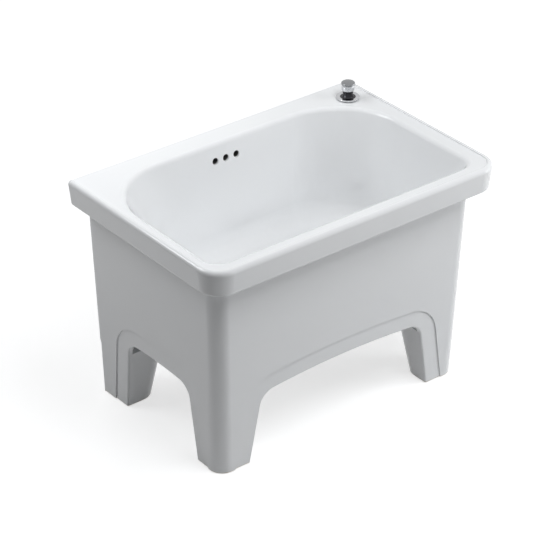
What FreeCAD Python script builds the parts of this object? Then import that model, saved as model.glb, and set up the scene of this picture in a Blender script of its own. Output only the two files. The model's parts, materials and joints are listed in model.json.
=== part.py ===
import FreeCAD, Part
import math
import os
import re
import Sketcher

# Mop sink: a glazed china casting on four legs, with a rod-operated pop-up waste.
# Millimetres. X runs to the right, Y to the wall behind, Z up from the floor.
# The origin is on the floor, under the middle of the rim.

# Driving dimensions: name, value, what it measures.
SIZES = [
    # Rim and deck of the casting
    ("rim_width", 600, "rim, left to right"),
    ("rim_depth", 400, "rim, front to back"),
    ("rim_height", 418, "floor to the top of the rim's bead"),
    ("rim_band", 46, "height of the rim's outer face"),
    ("rim_draw_in", 5, "lean of the rim's face, in at its lower edge"),
    ("rim_front_round", 42, "plan radius of the rim's front corners"),
    ("rim_back_round", 8, "plan radius of the rim's back corners"),
    ("rim_edge_round", 7.5, "rounding of the rim's outer top edge"),
    ("rim_under_round", 3.5, "rounding of the rim's lower edge"),
    ("bead_width", 10, "raised bead along the front and the sides"),
    ("bead_height", 2.5, "bead above the deck"),
    ("bead_soft", 1.1, "softening of the bead's inner step"),
    ("deck_thickness", 14, "bead top to the underside of the deck"),
    # Apron
    ("apron_top_side", 31, "apron inside the rim, at the rim, left and right"),
    ("apron_top_front", 36, "apron inside the rim, at the rim, front"),
    ("apron_top_back", 11, "apron inside the rim, at the rim, back"),
    ("apron_foot_side", 43, "apron inside the rim, at the floor, left and right"),
    ("apron_foot_front", 50, "apron inside the rim, at the floor, front"),
    ("apron_foot_back", 17, "apron inside the rim, at the floor, back"),
    ("apron_front_round", 26, "plan radius of the apron's front corners"),
    ("apron_back_round", 8, "plan radius of the apron's back corners"),
    ("apron_wall", 8, "wall of the apron"),
    ("apron_flare", 6.5, "fillet under the rim"),
    # Basin
    ("mouth_left", 23, "rim to the basin's mouth, left"),
    ("mouth_right", 35, "rim to the basin's mouth, right"),
    ("mouth_front", 29, "rim to the basin's mouth, front"),
    ("mouth_back", 46, "rim to the basin's mouth, back"),
    ("mouth_front_round", 28, "plan radius of the basin's front corners"),
    ("mouth_back_round", 125, "plan radius of the basin's back corners"),
    ("mouth_roll", 9, "rounding of the deck into the basin"),
    ("basin_neck", 50, "rim top to where the flared mouth becomes the wall"),
    ("basin_set_in", 4, "spare wall between the bowl and the apron's face"),
    ("basin_draft", 5, "further lean of the basin's wall down to its floor"),
    ("basin_back_draft", 9, "lean of the basin's back wall, mouth to neck, and neck to floor"),
    ("basin_floor", 212, "height of the basin's floor"),
    ("basin_floor_round", 40, "rounding of the wall into the floor"),
    ("floor_front_round", 60, "plan radius of the floor's front corners"),
    ("floor_back_round", 112, "plan radius of the floor's back corners"),
    ("bowl_wall", 12, "wall of the basin"),
    # Arches and legs
    ("leg_width", 66, "leg at the floor, left to right"),
    ("front_leg_depth", 63, "front leg at the floor, front to back"),
    ("back_leg_depth", 72, "back leg at the floor, front to back"),
    ("arch_lean", 10, "lean of the front arch's sides, degrees"),
    ("arch_shoulder", 30, "shoulder radius of the front arch"),
    ("arch_crown", 139, "height of the front arch"),
    ("arch_crown_radius", 1500, "radius of the front arch's crown"),
    ("side_arch_lean", 7, "lean of the side arch's sides, degrees"),
    ("side_arch_shoulder", 28, "shoulder radius of the side arch"),
    ("side_arch_crown", 141, "height of the side arch"),
    ("side_arch_crown_radius", 900, "radius of the side arch's crown"),
    ("arch_band", 33, "width of the recessed border round each arch"),
    ("arch_band_depth", 2, "depth of that border"),
    ("leg_clearance", 9, "strap's lower end above the solid leg blocks"),
    ("leg_inner_round", 32, "rounding of each leg's inner corner"),
    ("leg_edge_round", 3, "small rounding of the legs' other corners"),
    ("arch_edge_round", 3, "rounding of the arches' outer edges"),
    ("wall_relief", 7, "step at the back of the rear legs, for a skirting board"),
    ("wall_relief_height", 100, "height of that step"),
    ("wall_relief_slope", 18, "height of the slope above the step"),
    # Overflow
    ("overflow_x", -12, "middle overflow hole, from the sink's middle"),
    ("overflow_drop", 33, "overflow holes below the rim top"),
    ("overflow_radius", 6, "radius of an overflow hole"),
    ("overflow_pitch", 22, "spacing of the overflow holes"),
    ("duct_reach", 46, "overflow duct beyond the middle hole, to the left"),
    ("duct_wall", 9, "wall of the overflow duct"),
    ("duct_channel_half", 18, "half the width of the channel to the waste"),
    ("duct_channel_height", 11, "height of that channel"),
    # Waste outlet in the basin's floor
    ("drain_x", 70, "waste, right of the middle"),
    ("drain_y", 44, "waste, behind the middle"),
    ("dish_radius", 50, "shallow dish round the waste"),
    ("dish_depth", 3, "depth of the dish"),
    ("seat_radius", 36, "recess for the waste's flange"),
    ("seat_depth", 4, "depth of that recess"),
    ("drain_hole_radius", 24, "hole through the china"),
    ("boss_radius", 44, "boss under the floor, round the hole"),
    ("boss_depth", 29, "flange recess to the underside of the boss"),
    # Waste fittings
    ("gasket_thickness", 1.5, "gasket under the flange"),
    ("flange_radius", 34, "flange in the basin"),
    ("flange_thickness", 3, "thickness of the flange"),
    ("throat_radius", 22, "outside of the waste's throat"),
    ("throat_bore", 19, "bore of the throat"),
    ("slot_width", 12, "overflow slot in the throat"),
    ("slot_count", 4, "overflow slots round the throat"),
    ("under_gasket_height", 6, "tapered gasket under the boss"),
    ("under_gasket_radius", 37, "outside of that gasket"),
    ("washer_thickness", 2, "friction washer"),
    ("nut_height", 12, "lock nut"),
    ("nut_flats", 62, "lock nut across its flats"),
    ("thread_gap", 0.1, "clearance of a nut or socket on its thread"),
    ("tee_wall", 4, "wall of the pop-up body"),
    ("tee_socket", 8, "depth of the socket for the throat"),
    ("tee_nut_gap", 1.5, "lock nut above the pop-up body"),
    ("tee_length", 48, "socket's bottom to the pop-up body's lower end"),
    ("tee_spigot", 16, "length of the threaded lower end"),
    ("tail_radius", 16, "outside of the outlet pipe"),
    ("tail_wall", 1.5, "wall of the outlet pipe"),
    ("tail_end_radius", 15.5, "outlet pipe's free end, drawn a little smaller"),
    ("tail_end_length", 48, "length of that end"),
    ("tail_bottom", 32, "outlet pipe's end above the floor"),
    ("tail_insert", 12, "outlet pipe inside the pop-up body"),
    ("slip_nut_height", 15, "nut on the lower end"),
    ("slip_nut_wall", 4, "wall of that nut"),
    ("slip_seal_height", 5, "tapered seal under the lower end"),
    # Lever through the side of the waste
    ("pivot_drop", 13.5, "lever's pivot under the throat's end"),
    ("pivot_reach", 38, "pivot from the waste's axis"),
    ("pivot_ball_radius", 7.5, "ball on the lever"),
    ("port_bore", 8.2, "bore of the side port"),
    ("port_wall", 3, "wall of the side port"),
    ("seal_bore", 4.8, "bore of the ball's two seats"),
    ("seal_thickness", 2.2, "thickness of the ball's seats"),
    ("ball_gap", 0.3, "running gap between the ball and its seats"),
    ("pivot_nut_skirt", 9, "pivot nut over the port"),
    ("pivot_nut_wall", 3.5, "wall of the pivot nut"),
    ("pivot_nut_bore", 6, "hole for the lever in the pivot nut"),
    ("lever_radius", 2.5, "lever rod"),
    ("lever_inner_end", 7, "lever past the waste's axis"),
    ("lever_outer_end", 12, "lever past the strap"),
    # Stopper
    ("stopper_radius", 23.5, "stopper cap"),
    ("stopper_dome", 5, "height of the cap's dome"),
    ("stopper_skirt", 3, "cap's edge"),
    ("stopper_seal_height", 2.5, "seal under the cap"),
    ("stopper_seal_gap", 0.2, "closed seal above the flange"),
    ("stem_radius", 5, "stopper stem"),
    ("fin_thickness", 2.4, "guide fins on the stem"),
    ("fin_height", 26, "height of the fins"),
    ("fin_gap", 0.4, "fins inside the throat"),
    ("eye_thickness", 3, "plate at the stem's lower end"),
    ("eye_half_width", 7, "half the plate's width"),
    ("eye_radius", 4, "hole in the plate for the lever"),
    ("eye_margin", 6, "plate beyond the hole"),
    # Lift linkage
    ("lift_from_right", 48, "knob from the rim's right edge"),
    ("lift_from_back", 55, "knob from the rim's back edge"),
    ("lift_rod_radius", 2.5, "lift rod"),
    ("lift_travel", 28, "pull of the knob"),
    ("lift_rod_tail", 12.5, "lift rod below the strap's lower tab"),
    ("strap_thickness", 1.5, "strap"),
    ("strap_half_width", 6, "half the strap's width"),
    ("strap_stand_off", 3.5, "rod's side to the strap's upper run"),
    ("strap_jog", 13, "offset of the strap's lower run"),
    ("strap_jog_height", 34, "height over which the strap jogs"),
    ("strap_top_gap", 6, "raised strap to the guide sleeve"),
    ("strap_tab_gap", 34, "upper tab to lower tab"),
    ("strap_tab_margin", 1, "tab beyond the rod"),
    ("strap_tab_half", 4, "half the tabs' width"),
    ("strap_tail", 12, "strap below the lever"),
    ("strap_hole_radius", 3.7, "hole in the strap for the lever"),
    ("strap_hole_pitch", 16, "spacing of the spare holes"),
    ("screw_radius", 2, "thumb screw"),
    ("screw_head_radius", 6, "thumb screw's head"),
    ("screw_head_height", 6, "height of that head"),
    ("clip_half_span", 6, "spring clip, strap to leg"),
    ("clip_thickness", 0.8, "spring clip"),
    ("clip_half_height", 4, "half the clip's height"),
    ("clip_side_gap", 1.2, "strap's edge to the clip's web"),
    # Knob and its guide
    ("knob_cap_radius", 11.3, "knob's cap"),
    ("knob_cap_height", 6, "height of the cap's edge"),
    ("knob_dome", 1.6, "crown of the cap"),
    ("knob_neck_radius", 8, "knob's waist"),
    ("knob_base_radius", 10.4, "knob's base ring"),
    ("knob_base_height", 3, "height of that ring"),
    ("knob_height", 18, "knob, base to the cap's edge"),
    ("knob_socket", 12, "rod inside the knob"),
    ("knob_rest_gap", 0.3, "knob above its collar"),
    ("plate_radius", 20.5, "escutcheon"),
    ("plate_edge", 1.6, "height of its edge"),
    ("plate_rise", 3.4, "height of the plate at the collar"),
    ("collar_radius", 9.4, "escutcheon's collar"),
    ("collar_height", 11, "height of the collar"),
    ("deck_gasket_thickness", 1.5, "gasket under the escutcheon"),
    ("deck_gasket_radius", 18, "outside of that gasket"),
    ("deck_hole_radius", 6.5, "hole through the deck"),
    ("sleeve_radius", 5.5, "guide sleeve"),
    ("sleeve_bore", 4, "bore of the guide sleeve"),
    ("sleeve_below", 20, "guide sleeve under the deck"),
    ("bush_clearance", 0.06, "lift rod in its bush"),
    ("sleeve_washer_radius", 12, "washer under the deck"),
    ("sleeve_washer_thickness", 2, "thickness of that washer"),
    ("sleeve_nut_flats", 17, "sleeve nut across its flats"),
    ("sleeve_nut_height", 6, "height of that nut"),
    ("nut_well_radius", 16, "hollow round the sleeve nut"),
    ("nut_well_depth", 24, "depth of that hollow under the deck"),
]
NAMES = {name for name, size, note in SIZES}

# How far a cut runs past the face that it opens, so that no two faces coincide.
OVERRUN = "10"

# Heights and places that several pieces share, written in the sizes above.
APRON_TOP = "(rim_height - rim_band)"
DECK = "(rim_height - bead_height)"
DECK_UNDER = "(rim_height - deck_thickness)"
NECK = "(rim_height - basin_neck)"
RIGHT = "(rim_width / 2)"
BACK = "(rim_depth / 2)"
SEAT = "(basin_floor - dish_depth - seat_depth)"
FLANGE_BOTTOM = f"({SEAT} + gasket_thickness)"
FLANGE_TOP = f"({FLANGE_BOTTOM} + flange_thickness)"
BOSS_BOTTOM = f"({SEAT} - boss_depth)"
WASHER_TOP = f"({BOSS_BOTTOM} - under_gasket_height)"
NUT_TOP = f"({WASHER_TOP} - washer_thickness)"
NUT_BOTTOM = f"({NUT_TOP} - nut_height)"
TEE_TOP = f"({NUT_BOTTOM} - tee_nut_gap)"
THROAT_END = f"({TEE_TOP} - tee_socket)"
PIVOT_HEIGHT = f"({THROAT_END} - pivot_drop)"
LEG_TOP = f"({PIVOT_HEIGHT} - strap_tail - leg_clearance)"
ARCH_HALF = f"({RIGHT} - apron_foot_side - leg_width)"
SIDE_ARCH_NEAR = f"(apron_foot_front + front_leg_depth - {BACK})"
SIDE_ARCH_FAR = f"({BACK} - apron_foot_back - back_leg_depth)"
SIDE_ARCH_MIDDLE = f"(({SIDE_ARCH_NEAR} + {SIDE_ARCH_FAR}) / 2)"
SIDE_ARCH_HALF = f"(({SIDE_ARCH_FAR} - {SIDE_ARCH_NEAR}) / 2)"
SLEEVE_BOTTOM = f"({DECK_UNDER} - sleeve_below)"
STRAP_TOP = f"({SLEEVE_BOTTOM} - lift_travel - strap_top_gap)"
LOWER_TAB_TOP = f"({STRAP_TOP} - strap_tab_gap)"
LIFT_ROD_BOTTOM = f"({LOWER_TAB_TOP} - strap_thickness - lift_rod_tail)"
TEE_BOTTOM = f"({THROAT_END} - tee_length)"
TEE_OUTSIDE = "(throat_radius + thread_gap + tee_wall)"
SPIGOT_RADIUS = "(tail_radius + thread_gap + tee_wall)"
LIFT_X = "(rim_width / 2 - lift_from_right)"
LIFT_Y = "(rim_depth / 2 - lift_from_back)"
LINK_REACH = f"sqrt(({LIFT_X} - drain_x)^2 + ({LIFT_Y} - drain_y)^2)"
LINK_ANGLE = f"atan2({LIFT_Y} - drain_y; {LIFT_X} - drain_x)"
STRAP_UPPER = f"({LINK_REACH} - lift_rod_radius - strap_stand_off - strap_thickness)"
STRAP_LOWER = f"({STRAP_UPPER} - strap_jog)"
STRAP_MIDDLE = f"({STRAP_LOWER} + strap_thickness / 2)"
SEAT_OFFSET = "sqrt((pivot_ball_radius + ball_gap)^2 - seal_bore^2)"
STOPPER_RISE = f"(lift_travel * pivot_reach / ({STRAP_MIDDLE} - pivot_reach))"
STOPPER_SEAT = f"({FLANGE_TOP} + stopper_seal_gap + {STOPPER_RISE})"
CAP_BOTTOM = f"({STOPPER_SEAT} + stopper_seal_height)"
PLATE_BOTTOM = f"({DECK} + deck_gasket_thickness)"
COLLAR_TOP = f"({PLATE_BOTTOM} + collar_height)"
KNOB_BOTTOM = f"({COLLAR_TOP} + knob_rest_gap)"

doc = FreeCAD.newDocument("mop_sink")
sheet = doc.addObject("Spreadsheet::Sheet", "Sizes")
for row, (name, size, note) in enumerate(SIZES, start=1):
    sheet.set(f"A{row}", note)
    sheet.set(f"B{row}", str(size))
    sheet.setAlias(f"B{row}", name)
doc.recompute()


def bind(text):
    """Expression text whose size names point at the sheet."""
    return re.sub(r"[a-z][a-z0-9_]*", lambda word: point(word.group(0)), text)


def point(word):
    """One word of an expression, pointed at the sheet if it names a size."""
    return f"Sizes.{word}" if word in NAMES else word


def value(text):
    """Number that an expression gives now."""
    result = sheet.evalExpression(bind(text))
    return float(getattr(result, "Value", result))


# Sketch helpers

def new_body(label):
    """Empty body for one piece."""
    body = doc.addObject("PartDesign::Body", label)
    body.Label = label
    return body


def sketch_on(body, name, role, offset=None):
    """Sketch on one of the body's own origin planes, moved along its normal."""
    sketch = body.newObject("Sketcher::SketchObject", name)
    plane = [item for item in body.Origin.OriginFeatures if item.Role == role][0]
    sketch.AttachmentSupport = [(plane, "")]
    sketch.MapMode = "FlatFace"
    if offset is not None:
        sketch.setExpression("AttachmentOffset.Base.z", bind(offset))
    return sketch


def dimension(sketch, kind, where, text):
    """Dimension of a sketch, bound to the sheet."""
    index = sketch.addConstraint(Sketcher.Constraint(kind, *where, value(text)))
    sketch.setExpression(f"Constraints[{index}]", bind(text))


def pin(sketch, shape, end, across, up):
    """Fix one point of a sketch, on an axis where the text is 0."""
    if across == "0":
        sketch.addConstraint(Sketcher.Constraint("PointOnObject", shape, end, -2))
    else:
        dimension(sketch, "DistanceX", (-1, 1, shape, end), across)
    if up == "0":
        sketch.addConstraint(Sketcher.Constraint("PointOnObject", shape, end, -1))
    else:
        dimension(sketch, "DistanceY", (-1, 1, shape, end), up)


def polygon(sketch, corners):
    """Closed straight-sided outline through the given corners."""
    places = [FreeCAD.Vector(value(across), value(up), 0) for across, up in corners]
    lines = []
    for start, end in zip(places, places[1:] + places[:1]):
        lines.append(sketch.addGeometry(Part.LineSegment(start, end), False))
    for line, following in zip(lines, lines[1:] + lines[:1]):
        sketch.addConstraint(Sketcher.Constraint("Coincident", line, 2, following, 1))
    for line, (across, up) in zip(lines, corners):
        pin(sketch, line, 1, across, up)
    return sketch


def circle(sketch, across, up, radius):
    """Circle in a sketch."""
    centre = FreeCAD.Vector(value(across), value(up), 0)
    ring = Part.Circle(centre, FreeCAD.Vector(0, 0, 1), value(radius))
    shape = sketch.addGeometry(ring, False)
    pin(sketch, shape, 3, across, up)
    dimension(sketch, "Radius", (shape,), radius)
    return sketch


def rounded(sketch, left, right, front, back, rounds):
    """Rectangle with rounded corners: front left, front right, back right, back left."""
    low_x, high_x, low_y, high_y = value(left), value(right), value(front), value(back)
    radii = [value(text) for text in rounds]
    corners = [(low_x, low_y, 1, 1), (high_x, low_y, -1, 1), (high_x, high_y, -1, -1), (low_x, high_y, 1, -1)]
    arcs = []
    for turn, ((x, y, inward_x, inward_y), radius) in enumerate(zip(corners, radii)):
        centre = FreeCAD.Vector(x + inward_x * radius, y + inward_y * radius, 0)
        ring = Part.Circle(centre, FreeCAD.Vector(0, 0, 1), radius)
        begin = math.pi + turn * math.pi / 2
        arcs.append(Part.ArcOfCircle(ring, begin, begin + math.pi / 2))
    lines = []
    for arc, following in zip(arcs, arcs[1:] + arcs[:1]):
        lines.append(Part.LineSegment(arc.EndPoint, following.StartPoint))
    shapes = []
    for arc, line in zip(arcs, lines):
        shapes.append(sketch.addGeometry(arc, False))
        shapes.append(sketch.addGeometry(line, False))
    for shape, following in zip(shapes, shapes[1:] + shapes[:1]):
        sketch.addConstraint(Sketcher.Constraint("Tangent", shape, 2, following, 1))
    for shape, way in zip(shapes[1::2], ("Horizontal", "Vertical", "Horizontal", "Vertical")):
        sketch.addConstraint(Sketcher.Constraint(way, shape))
    for shape, radius in zip(shapes[0::2], rounds):
        dimension(sketch, "Radius", (shape,), radius)
    for shape, way, text in zip(shapes[1::2], ("DistanceY", "DistanceX", "DistanceY", "DistanceX"),
                                (front, right, back, left)):
        dimension(sketch, way, (-1, 1, shape, 1), text)
    return sketch


def arch(sketch, middle, half, lean, shoulder, crown, crown_radius):
    """Arch that starts under the floor: leaning sides, round shoulders, a shallow crown."""
    centre_x = value(middle)
    round_in, big = value(shoulder), value(crown_radius)
    centre_y = value(crown) - big
    tilt = math.radians(value(lean))
    up_side = FreeCAD.Vector(math.sin(tilt), math.cos(tilt), 0)
    inward = FreeCAD.Vector(math.cos(tilt), -math.sin(tilt), 0)
    foot = FreeCAD.Vector(-value(half), 0, 0) - up_side * (value(OVERRUN) / math.cos(tilt))
    # The shoulder's centre is one shoulder radius in from the side and from the crown.
    start = foot + inward * round_in - FreeCAD.Vector(0, centre_y, 0)
    along = start.dot(up_side)
    climb = -along + math.sqrt(along ** 2 - start.dot(start) + (big - round_in) ** 2)
    hub = foot + inward * round_in + up_side * climb
    spring = foot + up_side * climb
    outward = (hub - FreeCAD.Vector(0, centre_y, 0)).normalize()
    haunch = hub + outward * round_in
    normal = FreeCAD.Vector(0, 0, 1)

    def shift(place, side):
        return FreeCAD.Vector(centre_x + side * place.x, place.y, 0)

    def angle(place, around):
        return math.atan2(place.y - around.y, place.x - around.x)

    top = FreeCAD.Vector(centre_x, centre_y, 0)
    shapes = [Part.LineSegment(shift(foot, -1), shift(foot, 1))]
    shapes.append(Part.LineSegment(shift(foot, 1), shift(spring, 1)))
    left_hub, right_hub = shift(hub, 1), shift(hub, -1)
    shapes.append(Part.ArcOfCircle(Part.Circle(left_hub, normal, round_in),
                                   angle(shift(haunch, 1), left_hub), angle(shift(spring, 1), left_hub)))
    shapes.append(Part.ArcOfCircle(Part.Circle(top, normal, big),
                                   angle(shift(haunch, -1), top), angle(shift(haunch, 1), top)))
    shapes.append(Part.ArcOfCircle(Part.Circle(right_hub, normal, round_in),
                                   angle(shift(spring, -1), right_hub), angle(shift(haunch, -1), right_hub)))
    shapes.append(Part.LineSegment(shift(spring, -1), shift(foot, -1)))
    floor, left, left_round, roof, right_round, right = [sketch.addGeometry(item, False) for item in shapes]
    for first, first_end, second, second_end in ((floor, 2, left, 1), (right, 2, floor, 1)):
        sketch.addConstraint(Sketcher.Constraint("Coincident", first, first_end, second, second_end))
    for first, first_end, second, second_end in ((left, 2, left_round, 2), (left_round, 1, roof, 2),
                                                 (roof, 1, right_round, 2), (right_round, 1, right, 1)):
        sketch.addConstraint(Sketcher.Constraint("Tangent", first, first_end, second, second_end))
    spread = f"({half} + {OVERRUN} * tan({lean} * 1 deg))"
    pin(sketch, floor, 1, f"{middle} + {spread}", f"-{OVERRUN}")
    pin(sketch, floor, 2, f"{middle} - {spread}", f"-{OVERRUN}")
    pin(sketch, roof, 3, middle, f"{crown} - {crown_radius}")
    dimension(sketch, "Angle", (-1, 1, left, 1), f"90 - {lean}")
    dimension(sketch, "Angle", (-1, 1, right, 2), f"90 + {lean}")
    dimension(sketch, "Radius", (left_round,), shoulder)
    dimension(sketch, "Radius", (right_round,), shoulder)
    dimension(sketch, "Radius", (roof,), crown_radius)
    return sketch


# Feature helpers

def pad(body, name, sketch, length, symmetric=False):
    """Solid pushed out of a sketch."""
    feature = body.newObject("PartDesign::Pad", name)
    feature.Profile = sketch
    feature.setExpression("Length", bind(length))
    if symmetric:
        feature.SideType = "Symmetric"
    return feature


def pocket(body, name, sketch, length=None, symmetric=False, backwards=False):
    """Cut made with a sketch, right through if it has no length."""
    feature = body.newObject("PartDesign::Pocket", name)
    feature.Profile = sketch
    feature.Reversed = backwards
    if length is None:
        feature.Type = "ThroughAll"
    else:
        feature.setExpression("Length", bind(length))
    if symmetric:
        feature.SideType = "Symmetric"
        feature.Type2 = feature.Type
    return feature


def loft(body, name, sketches, kind="Additive"):
    """Skin over a row of outlines, added to the body or cut out of it."""
    feature = body.newObject(f"PartDesign::{kind}Loft", name)
    feature.Profile = sketches[0]
    feature.Sections = sketches[1:]
    return feature


def is_level(edge, height):
    """Whether an edge lies wholly at one height."""
    level = value(height)
    return abs(edge.BoundBox.ZMin - level) < 0.02 and abs(edge.BoundBox.ZMax - level) < 0.02


def round_edges(body, name, radius, chosen):
    """Rounding of the edges that a test picks."""
    doc.recompute()
    base = body.Tip
    names = [f"Edge{number}" for number, edge in enumerate(base.Shape.Edges, 1) if chosen(edge)]
    feature = body.newObject("PartDesign::Fillet", name)
    feature.Base = (base, names)
    feature.setExpression("Radius", bind(radius))
    return feature


def turn(body, name, sketch, kind="Revolution"):
    """Solid or groove turned about the sketch's upright axis."""
    feature = body.newObject(f"PartDesign::{kind}", name)
    feature.Profile = sketch
    feature.ReferenceAxis = (sketch, ["V_Axis"])
    feature.Angle = 360
    return feature


def turned(label, outline):
    """Turned piece from its half outline of radius and height."""
    body = new_body(label)
    turn(body, f"{label}_turning", polygon(sketch_on(body, f"{label}_outline", "XZ_Plane"), outline))
    return body


def ring(label, bore, outside, bottom, top):
    """Plain ring with a square section."""
    return turned(label, [(bore, bottom), (outside, bottom), (outside, top), (bore, top)])


def hexagon(sketch, flats):
    """Regular hexagon round the origin."""
    corner = f"({flats}) / sqrt(3)"
    points = []
    for step in range(6):
        across = f"{corner} * cos({60 * step + 30} deg)"
        up = f"{corner} * sin({60 * step + 30} deg)"
        points.append(("0" if step in (1, 4) else across, up))
    return polygon(sketch, points)


def hex_nut(label, flats, bore, bottom, height):
    """Hexagon nut with a plain bore."""
    body = new_body(label)
    flat_sketch = hexagon(sketch_on(body, f"{label}_flats", "XY_Plane", bottom), flats)
    pad(body, f"{label}_hexagon", flat_sketch, height)
    bore_sketch = circle(sketch_on(body, f"{label}_bore", "XY_Plane", bottom), "0", "0", bore)
    pocket(body, f"{label}_hole", bore_sketch, height, backwards=True)
    return body


def stand_on_drain(body):
    """Place a piece on the waste's axis, its X along the lever."""
    body.Placement = FreeCAD.Placement(FreeCAD.Vector(), FreeCAD.Rotation(FreeCAD.Vector(0, 0, 1), 1))
    body.setExpression("Placement.Base.x", bind("drain_x"))
    body.setExpression("Placement.Base.y", bind("drain_y"))
    body.setExpression("Placement.Rotation.Angle", bind(LINK_ANGLE))
    return body


def stand_on_lift(body):
    """Place a piece on the lift rod's axis."""
    body.setExpression("Placement.Base.x", bind(LIFT_X))
    body.setExpression("Placement.Base.y", bind(LIFT_Y))
    return body


# The china casting

def outline_at(body, name, height, side, front, back, rounds, other_side=None):
    """Level outline of the casting, by its distances inside the rim; both sides alike by default."""
    sketch = sketch_on(body, name, "XY_Plane", height)
    return rounded(sketch, f"{side} - {RIGHT}", f"{RIGHT} - {other_side or side}", f"{front} - {BACK}",
                   f"{BACK} - {back}", rounds)


def corner_rounds(front, back):
    """Plan radii of an outline that is alike on the left and the right."""
    return (front, front, back, back)


def apron_inset(which, height):
    """Apron's distance inside the rim at a height, along its straight taper."""
    foot, top = f"apron_foot_{which}", f"apron_top_{which}"
    return f"({foot} + ({top} - {foot}) * {height} / {APRON_TOP})"


def apron_loft(body, name, inward, kind="Additive"):
    """Tapered block of the apron, a given distance inside its face."""
    rounds = corner_rounds(f"(apron_front_round - {inward})", f"(apron_back_round - {inward} * 0.5)")
    sketches = []
    for place, height in (("foot", "0"), ("top", APRON_TOP)):
        insets = [f"(apron_{place}_{which} + {inward})" for which in ("side", "front", "back")]
        sketches.append(outline_at(body, f"{name}_{place}", height, *insets, rounds))
    return loft(body, name, sketches, kind)


def add_apron(body):
    """Tapered apron with a shallow recessed border round each arch."""
    apron_loft(body, "apron", "0")
    wide = value(f"{RIGHT} - apron_top_side + 3")
    near = value(f"apron_top_front - 3 - {BACK}")
    far = value(f"{BACK} - apron_top_back + 3")

    def under_rim(edge):
        middle = edge.BoundBox.Center
        return is_level(edge, APRON_TOP) and abs(middle.x) < wide and near < middle.y < far

    round_edges(body, "flare", "apron_flare", under_rim)
    front = arch(sketch_on(body, "front_band", "XZ_Plane"), "0", f"({ARCH_HALF} + arch_band)", "arch_lean",
                 "(arch_shoulder + arch_band)", "(arch_crown + arch_band)", "arch_crown_radius")
    pocket(body, "front_border", front, symmetric=True)
    side = arch(sketch_on(body, "side_band", "YZ_Plane"), SIDE_ARCH_MIDDLE, f"({SIDE_ARCH_HALF} + arch_band)",
                "side_arch_lean", "(side_arch_shoulder + arch_band)", "(side_arch_crown + arch_band)",
                "side_arch_crown_radius")
    pocket(body, "side_border", side, symmetric=True)
    apron_loft(body, "recessed_apron", "arch_band_depth")


def add_rim(body):
    """Rim band, wider than the apron, with a face that leans in."""
    rounds = corner_rounds("rim_front_round", "rim_back_round")
    upper = outline_at(body, "rim_outline", "rim_height", "0", "0", "0", rounds)
    rim = pad(body, "rim", upper, "rim_band")
    rim.Reversed = True
    rim.setExpression("TaperAngle", bind("-atan(rim_draw_in / rim_band)"))
    round_edges(body, "rim_edge", "rim_edge_round", lambda edge: is_level(edge, "rim_height"))
    round_edges(body, "rim_under_edge", "rim_under_round", lambda edge: is_level(edge, APRON_TOP))


def hollow_apron(body):
    """Room inside the apron, above the leg blocks and under the deck."""
    rounds = corner_rounds("(apron_front_round - apron_wall)", "leg_edge_round")
    faces = ("side", "front", "back")
    low = [f"({apron_inset(which, LEG_TOP)} + apron_wall + arch_band_depth)" for which in faces]
    high = [f"(apron_top_{which} + apron_wall)" for which in faces]
    lower = outline_at(body, "hollow_lower", LEG_TOP, *low, rounds)
    upper = outline_at(body, "hollow_upper", DECK_UNDER, *high, rounds)
    loft(body, "hollow", [lower, upper], "Subtractive")


def basin_sections(body, name, outward, heights):
    """Three outlines of the basin, a wall's thickness outside its surface if asked."""
    neck_side = "(apron_top_side + bowl_wall + basin_set_in)"
    floor_side = f"({apron_inset('side', 'basin_floor')} + bowl_wall + basin_set_in + basin_draft)"
    floor_front = f"({apron_inset('front', 'basin_floor')} + bowl_wall + basin_set_in + basin_draft)"
    rows = [
        ("mouth", "mouth_left", "mouth_right", "mouth_front", "mouth_back", "mouth_front_round",
         "mouth_back_round"),
        ("neck", neck_side, neck_side, "(apron_top_front + bowl_wall + basin_set_in)",
         "(mouth_back + basin_back_draft)", "(mouth_front_round * 0.7 + floor_front_round * 0.3)",
         "(mouth_back_round * 0.7 + floor_back_round * 0.3)"),
        ("floor", floor_side, floor_side, floor_front, "(mouth_back + 2 * basin_back_draft)",
         "floor_front_round", "floor_back_round"),
    ]
    sketches = []
    for (place, left, right, front, back, front_round, back_round), height in zip(rows, heights):
        rounds = corner_rounds(f"({front_round} + {outward})", f"({back_round} + {outward})")
        sketches.append(outline_at(body, f"{name}_{place}", height, f"({left} - {outward})",
                                   f"({front} - {outward})", f"({back} - {outward})", rounds,
                                   f"({right} - {outward})"))
    return sketches


def add_bowl(body):
    """Outside of the basin, hung in the apron as one solid until the basin is cut."""
    heights = (DECK_UNDER, NECK, "(basin_floor - bowl_wall)")
    loft(body, "bowl", basin_sections(body, "bowl", "bowl_wall", heights))


def cut_basin(body):
    """Inside of the basin."""
    heights = ("rim_height", NECK, "basin_floor")
    loft(body, "basin", basin_sections(body, "basin", "0", heights), "Subtractive")
    round_edges(body, "floor_edge", "basin_floor_round", lambda edge: is_level(edge, "basin_floor"))


def box_in(body, name, left, right, front, back, bottom, height, cut=False):
    """Plain block added to the casting, or cut out of it."""
    corners = [(left, front), (right, front), (right, back), (left, back)]
    sketch = polygon(sketch_on(body, f"{name}_plan", "XY_Plane", bottom), corners)
    if cut:
        return pocket(body, name, sketch, height, backwards=True)
    return pad(body, name, sketch, height)


DUCT_LEFT = "(overflow_x - duct_reach)"
DUCT_RIGHT = "(drain_x + duct_channel_half + 2 * duct_wall)"
DUCT_BACK = f"({BACK} - {apron_inset('back', 'basin_floor')} - apron_wall * 0.5)"
DUCT_FRONT = f"({BACK} - mouth_back - 2 * basin_back_draft + bowl_wall)"
CHANNEL_BOTTOM = f"({BOSS_BOTTOM} + duct_wall)"


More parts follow.
